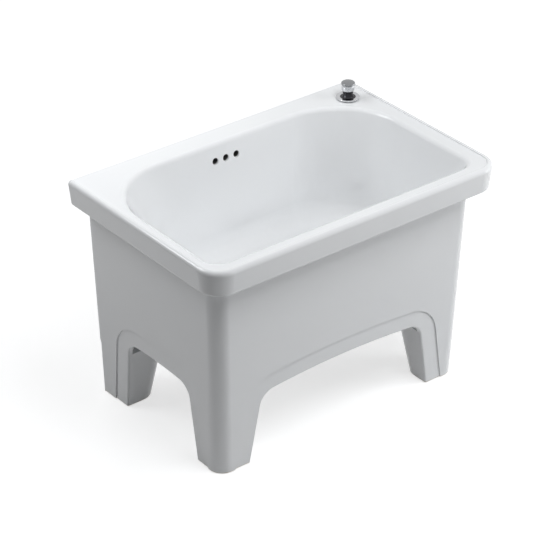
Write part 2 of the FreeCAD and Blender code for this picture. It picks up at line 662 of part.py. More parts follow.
def add_overflow_duct(body):
    """Ribs behind and under the basin that close the overflow's way to the waste."""
    box_in(body, "duct_block", DUCT_LEFT, DUCT_RIGHT, f"({DUCT_FRONT} - bowl_wall)", DUCT_BACK, BOSS_BOTTOM,
           f"({DECK_UNDER} - {BOSS_BOTTOM})")
    box_in(body, "channel_block", "(drain_x - duct_channel_half - duct_wall)",
           "(drain_x + duct_channel_half + duct_wall)", "drain_y", DUCT_BACK, BOSS_BOTTOM,
           f"(basin_floor - bowl_wall * 0.5 - {BOSS_BOTTOM})")


def cut_overflow(body):
    """Overflow holes, the duct behind the wall and the channel under the floor."""
    duct_front = f"({BACK} - mouth_back + bowl_wall)"
    duct_back = f"({DUCT_BACK} - apron_wall * 0.7)"
    box_in(body, "duct", f"({DUCT_LEFT} + duct_wall)", f"({DUCT_RIGHT} - duct_wall)", duct_front, duct_back,
           CHANNEL_BOTTOM, f"({DECK_UNDER} - duct_wall * 0.5 - {CHANNEL_BOTTOM})", cut=True)
    box_in(body, "channel", "(drain_x - duct_channel_half)", "(drain_x + duct_channel_half)", "drain_y",
           duct_back, CHANNEL_BOTTOM, "duct_channel_height", cut=True)
    for step in (-1, 0, 1):
        sketch = sketch_on(body, f"overflow_{step + 1}_circle", "XZ_Plane", f"-({duct_front} + 1)")
        across = f"overflow_x + {step} * overflow_pitch"
        circle(sketch, across, "(rim_height - overflow_drop)", "overflow_radius")
        pocket(body, f"overflow_{step + 1}", sketch, "(mouth_back + basin_back_draft)", backwards=True)


def cut_arches(body):
    """Arches through the front and back, and through the two sides."""
    front = arch(sketch_on(body, "front_arch", "XZ_Plane"), "0", ARCH_HALF, "arch_lean", "arch_shoulder",
                 "arch_crown", "arch_crown_radius")
    pocket(body, "front_opening", front, symmetric=True)
    side = arch(sketch_on(body, "side_arch", "YZ_Plane"), SIDE_ARCH_MIDDLE, SIDE_ARCH_HALF, "side_arch_lean",
                "side_arch_shoulder", "side_arch_crown", "side_arch_crown_radius")
    pocket(body, "side_opening", side, symmetric=True)
    doc.recompute()
    half_width, half_depth = value(RIGHT), value(BACK)

    def face_inset(which, height):
        return value(f"{apron_inset(which, height)} + arch_band_depth")

    def on_arch(edge):
        middle = edge.valueAt((edge.FirstParameter + edge.LastParameter) / 2)
        if middle.z < 1:
            return False
        over_front = front.Shape.distToShape(Part.Vertex(middle.x, 0, middle.z))[0] < 0.05
        over_side = side.Shape.distToShape(Part.Vertex(0, middle.y, middle.z))[0] < 0.05
        near = abs(middle.y + half_depth - face_inset("front", middle.z)) < 0.5
        far = abs(half_depth - middle.y - face_inset("back", middle.z)) < 0.5
        end = abs(half_width - abs(middle.x) - face_inset("side", middle.z)) < 0.5
        return over_front and (near or far) or over_side and end

    def on_leg(edge):
        middle = edge.valueAt((edge.FirstParameter + edge.LastParameter) / 2)
        over_front = front.Shape.distToShape(Part.Vertex(middle.x, 0, middle.z))[0] < 0.05
        over_side = side.Shape.distToShape(Part.Vertex(0, middle.y, middle.z))[0] < 0.05
        return over_front and over_side and edge.BoundBox.ZMin < 1 < edge.BoundBox.ZMax

    round_edges(body, "arch_edges", "arch_edge_round", on_arch)
    round_edges(body, "leg_corners", "leg_inner_round", on_leg)


def cut_wall_relief(body):
    """Step in the back of the rear legs."""
    inner = f"({BACK} - apron_foot_back - wall_relief)"
    slope_top = "(wall_relief_height + wall_relief_slope)"
    corners = [(inner, f"-{OVERRUN}"), (BACK, f"-{OVERRUN}"), (BACK, slope_top),
               (f"({inner} + 2 * wall_relief)", slope_top), (inner, "wall_relief_height")]
    sketch = polygon(sketch_on(body, "relief_outline", "YZ_Plane"), corners)
    pocket(body, "relief", sketch, symmetric=True)


def cut_deck(body):
    """Deck, sunk a little so that a bead stands along the front and the sides."""
    rounds = corner_rounds("(rim_front_round - bead_width)", "rim_back_round")
    sketch = outline_at(body, "deck_outline", DECK, "bead_width", "bead_width", "-bead_width", rounds)
    pocket(body, "deck", sketch, f"bead_height + {OVERRUN}", backwards=True)
    left = value(f"(bead_width + mouth_left) / 2 - {RIGHT}")
    right = value(f"{RIGHT} - (bead_width + mouth_right) / 2")
    near = value(f"(bead_width + mouth_front) / 2 - {BACK}")
    far = value(f"{BACK} - mouth_back / 2")

    def at_mouth(edge):
        box = edge.BoundBox
        inside = left < box.XMin and box.XMax < right and near < box.YMin and box.YMax < far
        return is_level(edge, DECK) and inside

    round_edges(body, "mouth_edge", "mouth_roll", at_mouth)
    doc.recompute()

    def on_step(edge):
        middle = edge.valueAt((edge.FirstParameter + edge.LastParameter) / 2)
        flat = is_level(edge, DECK) or is_level(edge, "rim_height")
        return flat and sketch.Shape.distToShape(Part.Vertex(middle.x, middle.y, value(DECK)))[0] < 0.05

    round_edges(body, "bead_step", "bead_soft", on_step)


def cut_waste_hole(body):
    """Dish, flange recess and hole for the waste."""
    dish = polygon(sketch_on(body, "dish_outline", "XZ_Plane"), [
        ("0", SEAT), ("seat_radius", SEAT), ("seat_radius", "(basin_floor - dish_depth)"),
        ("dish_radius", "basin_floor"), ("dish_radius", f"(basin_floor + {OVERRUN})"),
        ("0", f"(basin_floor + {OVERRUN})")])
    dish.setExpression("AttachmentOffset.Base.x", bind("drain_x"))
    dish.setExpression("AttachmentOffset.Base.z", bind("-drain_y"))
    turn(body, "dish", dish, "Groove")
    hole = circle(sketch_on(body, "waste_hole_circle", "XY_Plane", f"({BOSS_BOTTOM} - {OVERRUN})"), "drain_x",
                  "drain_y", "drain_hole_radius")
    pocket(body, "waste_hole", hole, f"(boss_depth + seat_depth + {OVERRUN})", backwards=True)


def cut_lift_hole(body):
    """Hole through the deck for the lift rod's sleeve, and the hollow round its nut."""
    hole = circle(sketch_on(body, "lift_hole_circle", "XY_Plane", f"({DECK_UNDER} - 1)"), LIFT_X, LIFT_Y,
                  "deck_hole_radius")
    pocket(body, "lift_hole", hole, "deck_thickness + 2", backwards=True)
    well_sketch = sketch_on(body, "nut_well_circle", "XY_Plane", f"({DECK_UNDER} - nut_well_depth)")
    well = circle(well_sketch, LIFT_X, LIFT_Y, "nut_well_radius")
    pocket(body, "nut_well", well, "nut_well_depth", backwards=True)


def make_sink():
    """The whole casting."""
    body = new_body("sink_body")
    add_rim(body)
    add_apron(body)
    hollow_apron(body)
    add_bowl(body)
    add_overflow_duct(body)
    boss_sketch = sketch_on(body, "boss_circle", "XY_Plane", BOSS_BOTTOM)
    boss = circle(boss_sketch, "drain_x", "drain_y", "boss_radius")
    pad(body, "boss", boss, f"(basin_floor - bowl_wall * 0.5 - {BOSS_BOTTOM})")
    cut_arches(body)
    cut_wall_relief(body)
    cut_basin(body)
    cut_deck(body)
    cut_waste_hole(body)
    cut_overflow(body)
    cut_lift_hole(body)
    round_edges(body, "foot_edges", "leg_edge_round * 0.8", lambda edge: is_level(edge, "0"))
    return body


# Turning and placing along the lever

def level_sketch(body, name, height):
    """Upright sketch in the lever's plane, with its level axis at a height."""
    sketch = sketch_on(body, name, "XZ_Plane")
    sketch.setExpression("AttachmentOffset.Base.y", bind(height))
    return sketch


def turn_level(body, name, sketch):
    """Solid turned about the sketch's level axis."""
    feature = body.newObject("PartDesign::Revolution", name)
    feature.Profile = sketch
    feature.ReferenceAxis = (sketch, ["H_Axis"])
    feature.Angle = 360
    return feature


def turned_along(label, height, outline):
    """Piece turned about a level line in the lever's plane, from distances and radii."""
    body = new_body(label)
    turn_level(body, f"{label}_turning", polygon(level_sketch(body, f"{label}_outline", height), outline))
    return body


def hole_along(body, name, start, height, radius, length=None):
    """Round hole along the lever, from a distance outwards."""
    sketch = circle(sketch_on(body, f"{name}_circle", "YZ_Plane", start), "0", height, radius)
    return pocket(body, name, sketch, length, backwards=True)


# The waste that is clamped in the basin's floor

def make_drain_flange():
    """Flange and slotted throat."""
    body = turned("drain_flange", [
        ("throat_bore", THROAT_END), ("throat_radius", THROAT_END), ("throat_radius", FLANGE_BOTTOM),
        ("flange_radius", FLANGE_BOTTOM), ("flange_radius", f"({FLANGE_BOTTOM} + flange_thickness * 0.4)"),
        ("(flange_radius - flange_thickness)", FLANGE_TOP), ("(throat_bore + 2)", FLANGE_TOP),
        ("throat_bore", f"({FLANGE_TOP} - 2)")])
    top = f"({CHANNEL_BOTTOM} + duct_channel_height)"
    sketch = polygon(sketch_on(body, "slot_outline", "XZ_Plane"), [
        ("-slot_width / 2", CHANNEL_BOTTOM), ("slot_width / 2", CHANNEL_BOTTOM), ("slot_width / 2", top),
        ("-slot_width / 2", top)])
    slot = pocket(body, "slot", sketch, "throat_radius + 1")
    row = body.newObject("PartDesign::PolarPattern", "slots")
    row.Originals = [slot]
    row.Axis = ([item for item in body.Origin.OriginFeatures if item.Role == "Z_Axis"][0], [""])
    row.Angle = 360
    row.setExpression("Occurrences", bind("slot_count"))
    body.Tip = row
    return body


def make_under_gasket():
    """Tapered gasket under the china."""
    inner = "(throat_radius + thread_gap)"
    return turned("under_gasket", [
        (inner, WASHER_TOP), ("under_gasket_radius", WASHER_TOP),
        ("under_gasket_radius", f"({WASHER_TOP} + under_gasket_height * 0.5)"),
        ("(under_gasket_radius - under_gasket_height)", BOSS_BOTTOM), (inner, BOSS_BOTTOM)])


PORT_END = f"(pivot_reach + {SEAT_OFFSET})"
INNER_SEAT = f"(pivot_reach - {SEAT_OFFSET})"
TEE_BODY = "(throat_bore + tee_wall)"
TAIL_BORE = "(tail_radius + thread_gap)"
SPIGOT_TOP = f"({TEE_BOTTOM} + tee_spigot)"


def make_pop_up_tee():
    """Body under the throat, with the lever's side port and the outlet's spigot."""
    body = turned("pop_up_tee", [
        (TAIL_BORE, TEE_BOTTOM), (SPIGOT_RADIUS, TEE_BOTTOM), (SPIGOT_RADIUS, SPIGOT_TOP),
        (TEE_BODY, f"({SPIGOT_TOP} + tee_wall)"), (TEE_BODY, f"({THROAT_END} - 2 * tee_wall)"),
        (TEE_OUTSIDE, f"({THROAT_END} - tee_wall)"), (TEE_OUTSIDE, TEE_TOP),
        ("(throat_radius + thread_gap)", TEE_TOP), ("(throat_radius + thread_gap)", THROAT_END),
        ("throat_bore", THROAT_END), ("throat_bore", f"({SPIGOT_TOP} + tee_wall)"), (TAIL_BORE, SPIGOT_TOP)])
    start = "(throat_bore + tee_wall * 0.5)"
    port_sketch = sketch_on(body, "port_circle", "YZ_Plane", start)
    port = circle(port_sketch, "0", PIVOT_HEIGHT, "(port_bore + port_wall)")
    pad(body, "port", port, f"({PORT_END} - {start})")
    hole_along(body, "port_way", "throat_bore * 0.5", PIVOT_HEIGHT, "(port_bore - port_wall * 0.5)")
    hole_along(body, "port_room", f"({INNER_SEAT} - seal_thickness)", PIVOT_HEIGHT, "port_bore")
    return body


def make_slip_nut():
    """Nut that squeezes the seal round the outlet pipe."""
    body = new_body("slip_nut")
    inner = f"({SPIGOT_RADIUS} + thread_gap)"
    bottom = f"({TEE_BOTTOM} - slip_seal_height - slip_nut_wall)"
    flats = f"2 * ({inner} + slip_nut_wall)"
    flat_sketch = hexagon(sketch_on(body, "slip_flats", "XY_Plane", bottom), flats)
    pad(body, "slip_hexagon", flat_sketch, "slip_nut_height")
    ledge = f"({TEE_BOTTOM} - slip_seal_height)"
    wide = circle(sketch_on(body, "slip_thread_circle", "XY_Plane", ledge), "0", "0", inner)
    pocket(body, "slip_thread", wide, "slip_nut_height", backwards=True)
    narrow = circle(sketch_on(body, "slip_lip_circle", "XY_Plane", bottom), "0", "0", TAIL_BORE)
    pocket(body, "slip_lip", narrow, "slip_nut_height", backwards=True)
    return body


def make_tailpiece():
    """Outlet pipe with a drawn free end."""
    bore = "(tail_end_radius - tail_wall)"
    shoulder = "(tail_bottom + tail_end_length)"
    top = f"({TEE_BOTTOM} + tail_insert)"
    return turned("tailpiece", [
        (bore, "tail_bottom"), ("tail_end_radius", "tail_bottom"), ("tail_end_radius", shoulder),
        ("tail_radius", f"({shoulder} + tail_wall)"), ("tail_radius", top), (bore, top)])


def make_waste():
    """Fixed pieces of the waste, from the flange down to the outlet pipe."""
    inner = "(throat_radius + thread_gap)"
    pieces = [
        make_drain_flange(),
        ring("flange_gasket", inner, "(flange_radius - 1)", SEAT, FLANGE_BOTTOM),
        make_under_gasket(),
        ring("friction_washer", inner, "(under_gasket_radius - 1)", NUT_TOP, WASHER_TOP),
        hex_nut("lock_nut", "nut_flats", inner, NUT_BOTTOM, "nut_height"),
        make_pop_up_tee(),
        turned("slip_seal", [
            ("tail_radius", f"({TEE_BOTTOM} - slip_seal_height)"),
            (f"({SPIGOT_RADIUS} - 0.5)", f"({TEE_BOTTOM} - slip_seal_height)"),
            (f"({SPIGOT_RADIUS} - 1.5)", TEE_BOTTOM), ("tail_radius", TEE_BOTTOM)]),
        make_slip_nut(),
        make_tailpiece(),
    ]
    return [stand_on_drain(piece) for piece in pieces]


# The lever and its port

def make_pivot_ball():
    """Ball pressed on the lever."""
    body = new_body("pivot_ball")
    sketch = level_sketch(body, "ball_outline", PIVOT_HEIGHT)
    radius, bore, reach = value("pivot_ball_radius"), value("lever_radius"), value("pivot_reach")
    half = math.sqrt(radius ** 2 - bore ** 2)
    mouth = math.asin(bore / radius)
    round_line = Part.Circle(FreeCAD.Vector(reach, 0, 0), FreeCAD.Vector(0, 0, 1), radius)
    dome = sketch.addGeometry(Part.ArcOfCircle(round_line, mouth, math.pi - mouth), False)
    bore_line = Part.LineSegment(FreeCAD.Vector(reach - half, bore, 0), FreeCAD.Vector(reach + half, bore, 0))
    wall = sketch.addGeometry(bore_line, False)
    sketch.addConstraint(Sketcher.Constraint("Coincident", dome, 2, wall, 1))
    sketch.addConstraint(Sketcher.Constraint("Coincident", wall, 2, dome, 1))
    sketch.addConstraint(Sketcher.Constraint("Horizontal", wall))
    pin(sketch, dome, 3, "pivot_reach", "0")
    dimension(sketch, "Radius", (dome,), "pivot_ball_radius")
    dimension(sketch, "DistanceY", (-1, 1, wall, 1), "lever_radius")
    turn_level(body, "pivot_ball_turning", sketch)
    return body


def make_pivot_nut():
    """Cap nut over the side port."""
    inside = "(port_bore + port_wall + thread_gap)"
    outside = f"({inside} + pivot_nut_wall)"
    mouth = f"({PORT_END} - pivot_nut_skirt)"
    ledge = f"({PORT_END} + seal_thickness)"
    end = f"({ledge} + pivot_nut_wall)"
    return turned_along("pivot_nut", PIVOT_HEIGHT, [
        (mouth, inside), (mouth, outside), (f"({end} - 1)", outside), (end, f"({outside} - 1)"),
        (end, "pivot_nut_bore"), (ledge, "pivot_nut_bore"), (ledge, inside)])


def make_spring_clip():
    """Clip that keeps the strap's place on the lever."""
    body = new_body("spring_clip")
    web = "(strap_half_width + clip_side_gap)"
    near, far = f"({STRAP_MIDDLE} - clip_half_span)", f"({STRAP_MIDDLE} + clip_half_span)"
    plan = sketch_on(body, "clip_plan", "XY_Plane", f"({PIVOT_HEIGHT} - clip_half_height)")
    polygon(plan, [
        (near, "-clip_half_height"), (f"({near} + clip_thickness)", "-clip_half_height"),
        (f"({near} + clip_thickness)", web), (f"({far} - clip_thickness)", web),
        (f"({far} - clip_thickness)", "-clip_half_height"), (far, "-clip_half_height"),
        (far, f"({web} + clip_thickness)"), (near, f"({web} + clip_thickness)")])
    pad(body, "clip_bend", plan, "2 * clip_half_height")
    hole_along(body, "clip_holes", f"({near} - 1)", PIVOT_HEIGHT, "lever_radius")
    return body


def make_lever():
    """Lever, its ball and seats, its cap nut and its clip."""
    start, end = "(-lever_inner_end)", f"({STRAP_MIDDLE} + lever_outer_end)"
    tip = "(lever_radius * 0.3)"
    outer_seat = f"({PORT_END} + seal_thickness)"
    inner_back = f"({INNER_SEAT} - seal_thickness)"
    pieces = [
        turned_along("pivot_rod", PIVOT_HEIGHT, [
            (start, "0"), (start, f"(lever_radius - {tip})"), (f"({start} + {tip})", "lever_radius"),
            (f"({end} - {tip})", "lever_radius"), (end, f"(lever_radius - {tip})"), (end, "0")]),
        turned_along("pivot_inner_seal", PIVOT_HEIGHT, [
            (inner_back, "seal_bore"), (inner_back, "port_bore"), (INNER_SEAT, "port_bore"),
            (INNER_SEAT, "seal_bore")]),
        turned_along("pivot_outer_seal", PIVOT_HEIGHT, [
            (PORT_END, "seal_bore"), (PORT_END, "(port_bore + port_wall)"),
            (outer_seat, "(port_bore + port_wall)"), (outer_seat, "seal_bore")]),
        make_pivot_nut(),
        make_spring_clip(),
        make_pivot_ball(),
    ]
    return [stand_on_drain(piece) for piece in pieces]


# The stopper, shown raised

def make_stopper_stem():
    """Stem with guide fins and an eye for the lever."""
    body = new_body("stopper_stem")
    eye_top = f"({PIVOT_HEIGHT} + eye_radius + eye_margin)"
    eye_bottom = f"({PIVOT_HEIGHT} - eye_radius - eye_margin)"
    shaft = circle(sketch_on(body, "stem_circle", "XY_Plane", f"({eye_top} - eye_margin * 0.5)"), "0", "0",
                   "stem_radius")
    pad(body, "stem", shaft, f"({CAP_BOTTOM} - {eye_top} + eye_margin * 0.5)")
    reach = "(throat_bore - fin_gap)"
    half = "(fin_thickness / 2)"
    bottom = f"({STOPPER_SEAT} - fin_height)"
    for name, wide, deep in (("fins_across", reach, half), ("fins_along", half, reach)):
        corners = [(f"-{wide}", f"-{deep}"), (wide, f"-{deep}"), (wide, deep), (f"-{wide}", deep)]
        pad(body, name, polygon(sketch_on(body, f"{name}_plan", "XY_Plane", bottom), corners), "fin_height")
    plate = polygon(sketch_on(body, "eye_outline", "YZ_Plane", "-eye_thickness / 2"), [
        ("-eye_half_width", eye_bottom), ("eye_half_width", eye_bottom), ("eye_half_width", eye_top),
        ("-eye_half_width", eye_top)])
    pad(body, "eye_plate", plate, "eye_thickness")
    hole_along(body, "eye", "-eye_thickness", PIVOT_HEIGHT, "eye_radius", "2 * eye_thickness")
    return body


def make_stopper():
    """Cap, seal and stem."""
    edge = f"({CAP_BOTTOM} + stopper_skirt)"
    pieces = [
        turned("stopper_cap", [
            ("0", CAP_BOTTOM), ("(stopper_radius - 1)", CAP_BOTTOM),
            ("stopper_radius", f"({CAP_BOTTOM} + 1)"), ("stopper_radius", edge),
            ("(stopper_radius * 0.95)", f"({edge} + stopper_dome * 0.3)"),
            ("(stopper_radius * 0.8)", f"({edge} + stopper_dome * 0.62)"),
            ("(stopper_radius * 0.55)", f"({edge} + stopper_dome * 0.86)"),
            ("(stopper_radius * 0.28)", f"({edge} + stopper_dome * 0.97)"),
            ("0", f"({edge} + stopper_dome)")]),
        ring("stopper_seal", "(stem_radius * 2.4)", "(stopper_radius - 1.5)", STOPPER_SEAT, CAP_BOTTOM),
        make_stopper_stem(),
    ]
    return [stand_on_drain(piece) for piece in pieces]


# The knob, its guide and the strap

def make_lift_knob():
    """Turned knob with a base ring, a waist and a crowned cap."""
    ring_top = f"({KNOB_BOTTOM} + knob_base_height)"
    cap_top = f"({KNOB_BOTTOM} + knob_height)"
    cap_bottom = f"({cap_top} - knob_cap_height)"
    socket = f"({KNOB_BOTTOM} + knob_socket)"
    return turned("lift_knob", [
        ("0", socket), ("lift_rod_radius", socket), ("lift_rod_radius", KNOB_BOTTOM),
        ("(knob_base_radius - 0.7)", KNOB_BOTTOM), ("knob_base_radius", f"({KNOB_BOTTOM} + 0.7)"),
        ("knob_base_radius", f"({ring_top} - 0.7)"), ("(knob_base_radius - 0.7)", ring_top),
        ("knob_neck_radius", f"({ring_top} + 1)"), ("knob_neck_radius", f"({cap_bottom} - 2)"),
        ("(knob_cap_radius - 0.8)", cap_bottom), ("knob_cap_radius", f"({cap_bottom} + 0.8)"),
        ("knob_cap_radius", f"({cap_top} - 1.2)"), ("(knob_cap_radius - 0.5)", f"({cap_top} - 0.4)"),
        ("(knob_cap_radius - 1.5)", cap_top), ("(knob_cap_radius * 0.45)", f"({cap_top} + knob_dome * 0.8)"),
        ("0", f"({cap_top} + knob_dome)")])


def make_escutcheon():
    """Round plate that sweeps up into a waisted collar."""
    rod_way = "(lift_rod_radius + 0.5)"
    inside_top = f"({COLLAR_TOP} - 2)"
    return turned("escutcheon", [
        ("sleeve_radius", PLATE_BOTTOM), ("plate_radius", PLATE_BOTTOM),
        ("plate_radius", f"({PLATE_BOTTOM} + plate_edge * 0.6)"),
        ("(plate_radius - 0.7)", f"({PLATE_BOTTOM} + plate_edge)"),
        ("(collar_radius + 4)", f"({PLATE_BOTTOM} + plate_rise * 0.85)"),
        ("(collar_radius + 1)", f"({PLATE_BOTTOM} + plate_rise)"),
        ("(collar_radius - 0.8)", f"({PLATE_BOTTOM} + plate_rise * 0.6 + collar_height * 0.3)"),
        ("(collar_radius - 1.4)", f"({PLATE_BOTTOM} + plate_rise * 0.3 + collar_height * 0.5)"),
        ("(collar_radius - 0.5)", f"({COLLAR_TOP} - 2)"), ("collar_radius", f"({COLLAR_TOP} - 1.2)"),
        ("collar_radius", f"({COLLAR_TOP} - 0.4)"), ("(collar_radius - 0.4)", COLLAR_TOP),
        (rod_way, COLLAR_TOP), (rod_way, inside_top), ("sleeve_radius", inside_top)])


def make_lift_strap():
    """Bent strap with two tabs for the rod and a row of holes for the lever."""
    body = new_body("lift_strap")
    jog_top = f"({LOWER_TAB_TOP} - 4 * strap_thickness)"
    jog_bottom = f"({jog_top} - strap_jog_height)"
    bottom = f"({PIVOT_HEIGHT} - strap_tail)"
    profile = polygon(sketch_on(body, "strap_profile", "XZ_Plane"), [
        (STRAP_LOWER, bottom), (f"({STRAP_LOWER} + strap_thickness)", bottom),
        (f"({STRAP_LOWER} + strap_thickness)", f"({jog_bottom} - strap_thickness * 0.3)"),
        (f"({STRAP_UPPER} + strap_thickness)", f"({jog_top} - strap_thickness * 0.3)"),
        (f"({STRAP_UPPER} + strap_thickness)", STRAP_TOP), (STRAP_UPPER, STRAP_TOP),
        (STRAP_UPPER, f"({jog_top} + strap_thickness * 0.3)"),
        (STRAP_LOWER, f"({jog_bottom} + strap_thickness * 0.3)")])
    pad(body, "strap_bend", profile, "2 * strap_half_width", symmetric=True)
    inner = f"({STRAP_UPPER} + strap_thickness * 0.5)"
    nose = f"({LINK_REACH} + lift_rod_radius + strap_tab_margin)"
    for name, top in (("upper_tab", STRAP_TOP), ("lower_tab", LOWER_TAB_TOP)):
        plan = polygon(sketch_on(body, f"{name}_plan", "XY_Plane", f"({top} - strap_thickness)"), [
            (inner, "-strap_tab_half"), (LINK_REACH, "-strap_tab_half"), (nose, "-strap_tab_half / 2"),
            (nose, "strap_tab_half / 2"), (LINK_REACH, "strap_tab_half"), (inner, "strap_tab_half")])
        pad(body, name, plan, "strap_thickness")
    rod_sketch = sketch_on(body, "rod_hole_circle", "XY_Plane", f"({LOWER_TAB_TOP} - 2 * strap_thickness)")
    rod_hole = circle(rod_sketch, LINK_REACH, "0", "lift_rod_radius")
    pocket(body, "rod_holes", rod_hole, backwards=True)
    lever_holes = sketch_on(body, "lever_hole_circles", "YZ_Plane", f"({STRAP_LOWER} - 1)")
    for step in range(4):
        circle(lever_holes, "0", f"{PIVOT_HEIGHT} + {step} * strap_hole_pitch", "strap_hole_radius")
    pocket(body, "lever_holes", lever_holes, "strap_thickness + 2", backwards=True)
    start = f"({STRAP_UPPER} - 1)"
    hole_along(body, "screw_hole", start, SCREW_HEIGHT, "screw_radius", "strap_thickness + 2")
    return body


SCREW_HEIGHT = f"({STRAP_TOP} - strap_tab_gap / 2 - strap_thickness / 2)"


def make_strap_screw():
    """Thumb screw that pinches the rod in the strap."""
    head = f"({STRAP_UPPER} - screw_head_height)"
    tip = f"({LINK_REACH} - lift_rod_radius)"
    return turned_along("strap_screw", SCREW_HEIGHT, [
        (head, "0"), (head, "(screw_head_radius - 0.8)"), (f"({head} + 0.8)", "screw_head_radius"),
        (f"({STRAP_UPPER} - 0.8)", "screw_head_radius"), (STRAP_UPPER, "(screw_head_radius - 0.8)"),
        (STRAP_UPPER, "screw_radius"), (tip, "screw_radius"), (tip, "0")])


def make_lift():
    """Knob, rod and guide at the deck's corner, and the strap under it."""
    washer_bottom = f"({DECK_UNDER} - sleeve_washer_thickness)"
    nut_bottom = f"({washer_bottom} - sleeve_nut_height)"
    rod_top = f"({KNOB_BOTTOM} + knob_socket)"
    on_lift = [
        make_lift_knob(),
        make_escutcheon(),
        ring("escutcheon_gasket", "deck_hole_radius", "deck_gasket_radius", DECK, PLATE_BOTTOM),
        ring("guide_sleeve", "sleeve_bore", "sleeve_radius", SLEEVE_BOTTOM, f"({COLLAR_TOP} - 2)"),
        ring("guide_bush", "(lift_rod_radius + bush_clearance)", "sleeve_bore", SLEEVE_BOTTOM,
             DECK_UNDER),
        ring("sleeve_washer", "sleeve_radius", "sleeve_washer_radius", washer_bottom, DECK_UNDER),
        hex_nut("sleeve_nut", "sleeve_nut_flats", "sleeve_radius", nut_bottom, "sleeve_nut_height"),
        turned("lift_rod", [
            ("0", LIFT_ROD_BOTTOM), ("(lift_rod_radius - 0.8)", LIFT_ROD_BOTTOM),
            ("lift_rod_radius", f"({LIFT_ROD_BOTTOM} + 0.8)"), ("lift_rod_radius", rod_top), ("0", rod_top)]),
    ]
    along = [make_lift_strap(), make_strap_screw()]
    return [stand_on_lift(piece) for piece in on_lift] + [stand_on_drain(piece) for piece in along]


# Building and writing

PIECES = [make_sink()] + make_waste() + make_lever() + make_stopper() + make_lift()
doc.recompute()

for item in doc.Objects:
    bad = [word for word in item.State if word in ("Invalid", "Error")]
    if bad:
        raise RuntimeError(f"{item.Label} failed: {item.State}")
for piece in PIECES:
    if piece.Shape.isNull() or not piece.Shape.isValid():
        raise RuntimeError(f"{piece.Label} has no valid shape")

os.makedirs("parts", exist_ok=True)
for piece in PIECES:
    piece.Shape.exportStep(f"parts/{piece.Label}.step")
    print(piece.Label, len(piece.Shape.Solids), round(piece.Shape.Volume))
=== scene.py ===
import json
import math

import bmesh
import bpy
from bpy.props import FloatProperty, FloatVectorProperty, PointerProperty
from mathutils import Matrix, Vector


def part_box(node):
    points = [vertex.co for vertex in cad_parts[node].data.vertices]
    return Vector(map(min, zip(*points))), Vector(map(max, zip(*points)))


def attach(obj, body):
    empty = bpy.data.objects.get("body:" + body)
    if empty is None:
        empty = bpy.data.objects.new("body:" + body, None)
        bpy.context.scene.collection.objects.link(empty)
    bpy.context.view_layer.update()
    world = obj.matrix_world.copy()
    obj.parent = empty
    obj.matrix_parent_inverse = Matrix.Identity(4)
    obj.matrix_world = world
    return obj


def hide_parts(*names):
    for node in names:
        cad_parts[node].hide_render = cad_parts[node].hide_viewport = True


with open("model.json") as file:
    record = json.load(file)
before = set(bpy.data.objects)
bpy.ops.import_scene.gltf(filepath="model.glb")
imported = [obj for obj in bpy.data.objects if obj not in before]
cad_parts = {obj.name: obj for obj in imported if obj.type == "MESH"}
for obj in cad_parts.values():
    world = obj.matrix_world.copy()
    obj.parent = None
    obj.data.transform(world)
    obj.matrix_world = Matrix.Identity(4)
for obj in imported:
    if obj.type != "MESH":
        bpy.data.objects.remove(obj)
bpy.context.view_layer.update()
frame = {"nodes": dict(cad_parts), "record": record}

bl_info = {
    "name": "Mop Sink Finishes",
    "version": (1, 0, 0),
    "blender": (4, 5, 0),
    "location": "3D View > Sidebar > Mop Sink",
    "description": "Dresses a floor-standing china mop sink and its pop-up waste",
    "category": "Object",
}

# The solid model's nodes, taken before anything is added
NODES = frame["nodes"]

# The material slot that the record gives each node
SLOTS = {part["node"]: part["material_slot"] for part in frame["record"]["subparts"]}

# Limits of the overflow's passage behind the three holes, in metres, where painted shade darkens the
# glaze's colour
PASSAGE_ACROSS = (-0.042, 0.018)
PASSAGE_DEPTH = (0.150, 0.180)
PASSAGE_HEIGHT = (0.300, 0.392)

# Distances under which points merge, in metres: in an outline, in a finished piece and in a copied node
OUTLINE_MERGE = 0.000001
PIECE_MERGE = 0.000002
COPY_MERGE = 0.000005

# Outline points this close to the axis stay sharp, in metres
ON_AXIS = 0.0001

# How far the lower edge of the glaze wanders up and down, in metres
RAGGED_EDGE = 0.0006

# A hexagon's height beyond its node's, so that the ring trims both ends, in metres
CUT_MARGIN = 0.002

# Fewest faces of a hexagon nut that was cut as it should be
NUT_FACES = 20

# Largest upright part of a rim face's normal where a grip is grooved
RIM_TILT = 0.3

# Limits of the painted chrome, in metres: the painted darker reflection on the knob's cap, the painted
# shade on its collar, and the painted shade in the middle of its plate
CAP_DEPTH = 0.0062
COLLAR_HEIGHT = 0.0027
PLATE_SHADE_RADIUS = 0.0128
PLATE_SHADE_HEIGHT = 0.001

# Sleeve's thread in millimetres: its length, and each turn's radii at shares of the pitch
THREAD_LENGTH = 19.5
THREAD_FORM = ((5.48, 1 / 3), (5.48, 7 / 15), (4.98, 4 / 5), (4.98, 14 / 15))

# The cap nut's inner end from the waste's axis, and the thumb screw's length, in metres
CAP_NUT_REACH = 0.035148
SCREW_LENGTH = 0.0095

# Fittings that keep their solid shape with rounded edges: node, body and rounding in metres
ROUNDED_FITTINGS = (
    ("lift_strap", "lift", 0.0004), ("spring_clip", "lever", 0.00025), ("pop_up_tee", "sink", 0.0006),
    ("tailpiece", "sink", 0.0004), ("drain_flange", "sink", 0.0007), ("under_gasket", "sink", 0.0008),
    ("friction_washer", "sink", 0.0005), ("sleeve_washer", "sink", 0.0004))

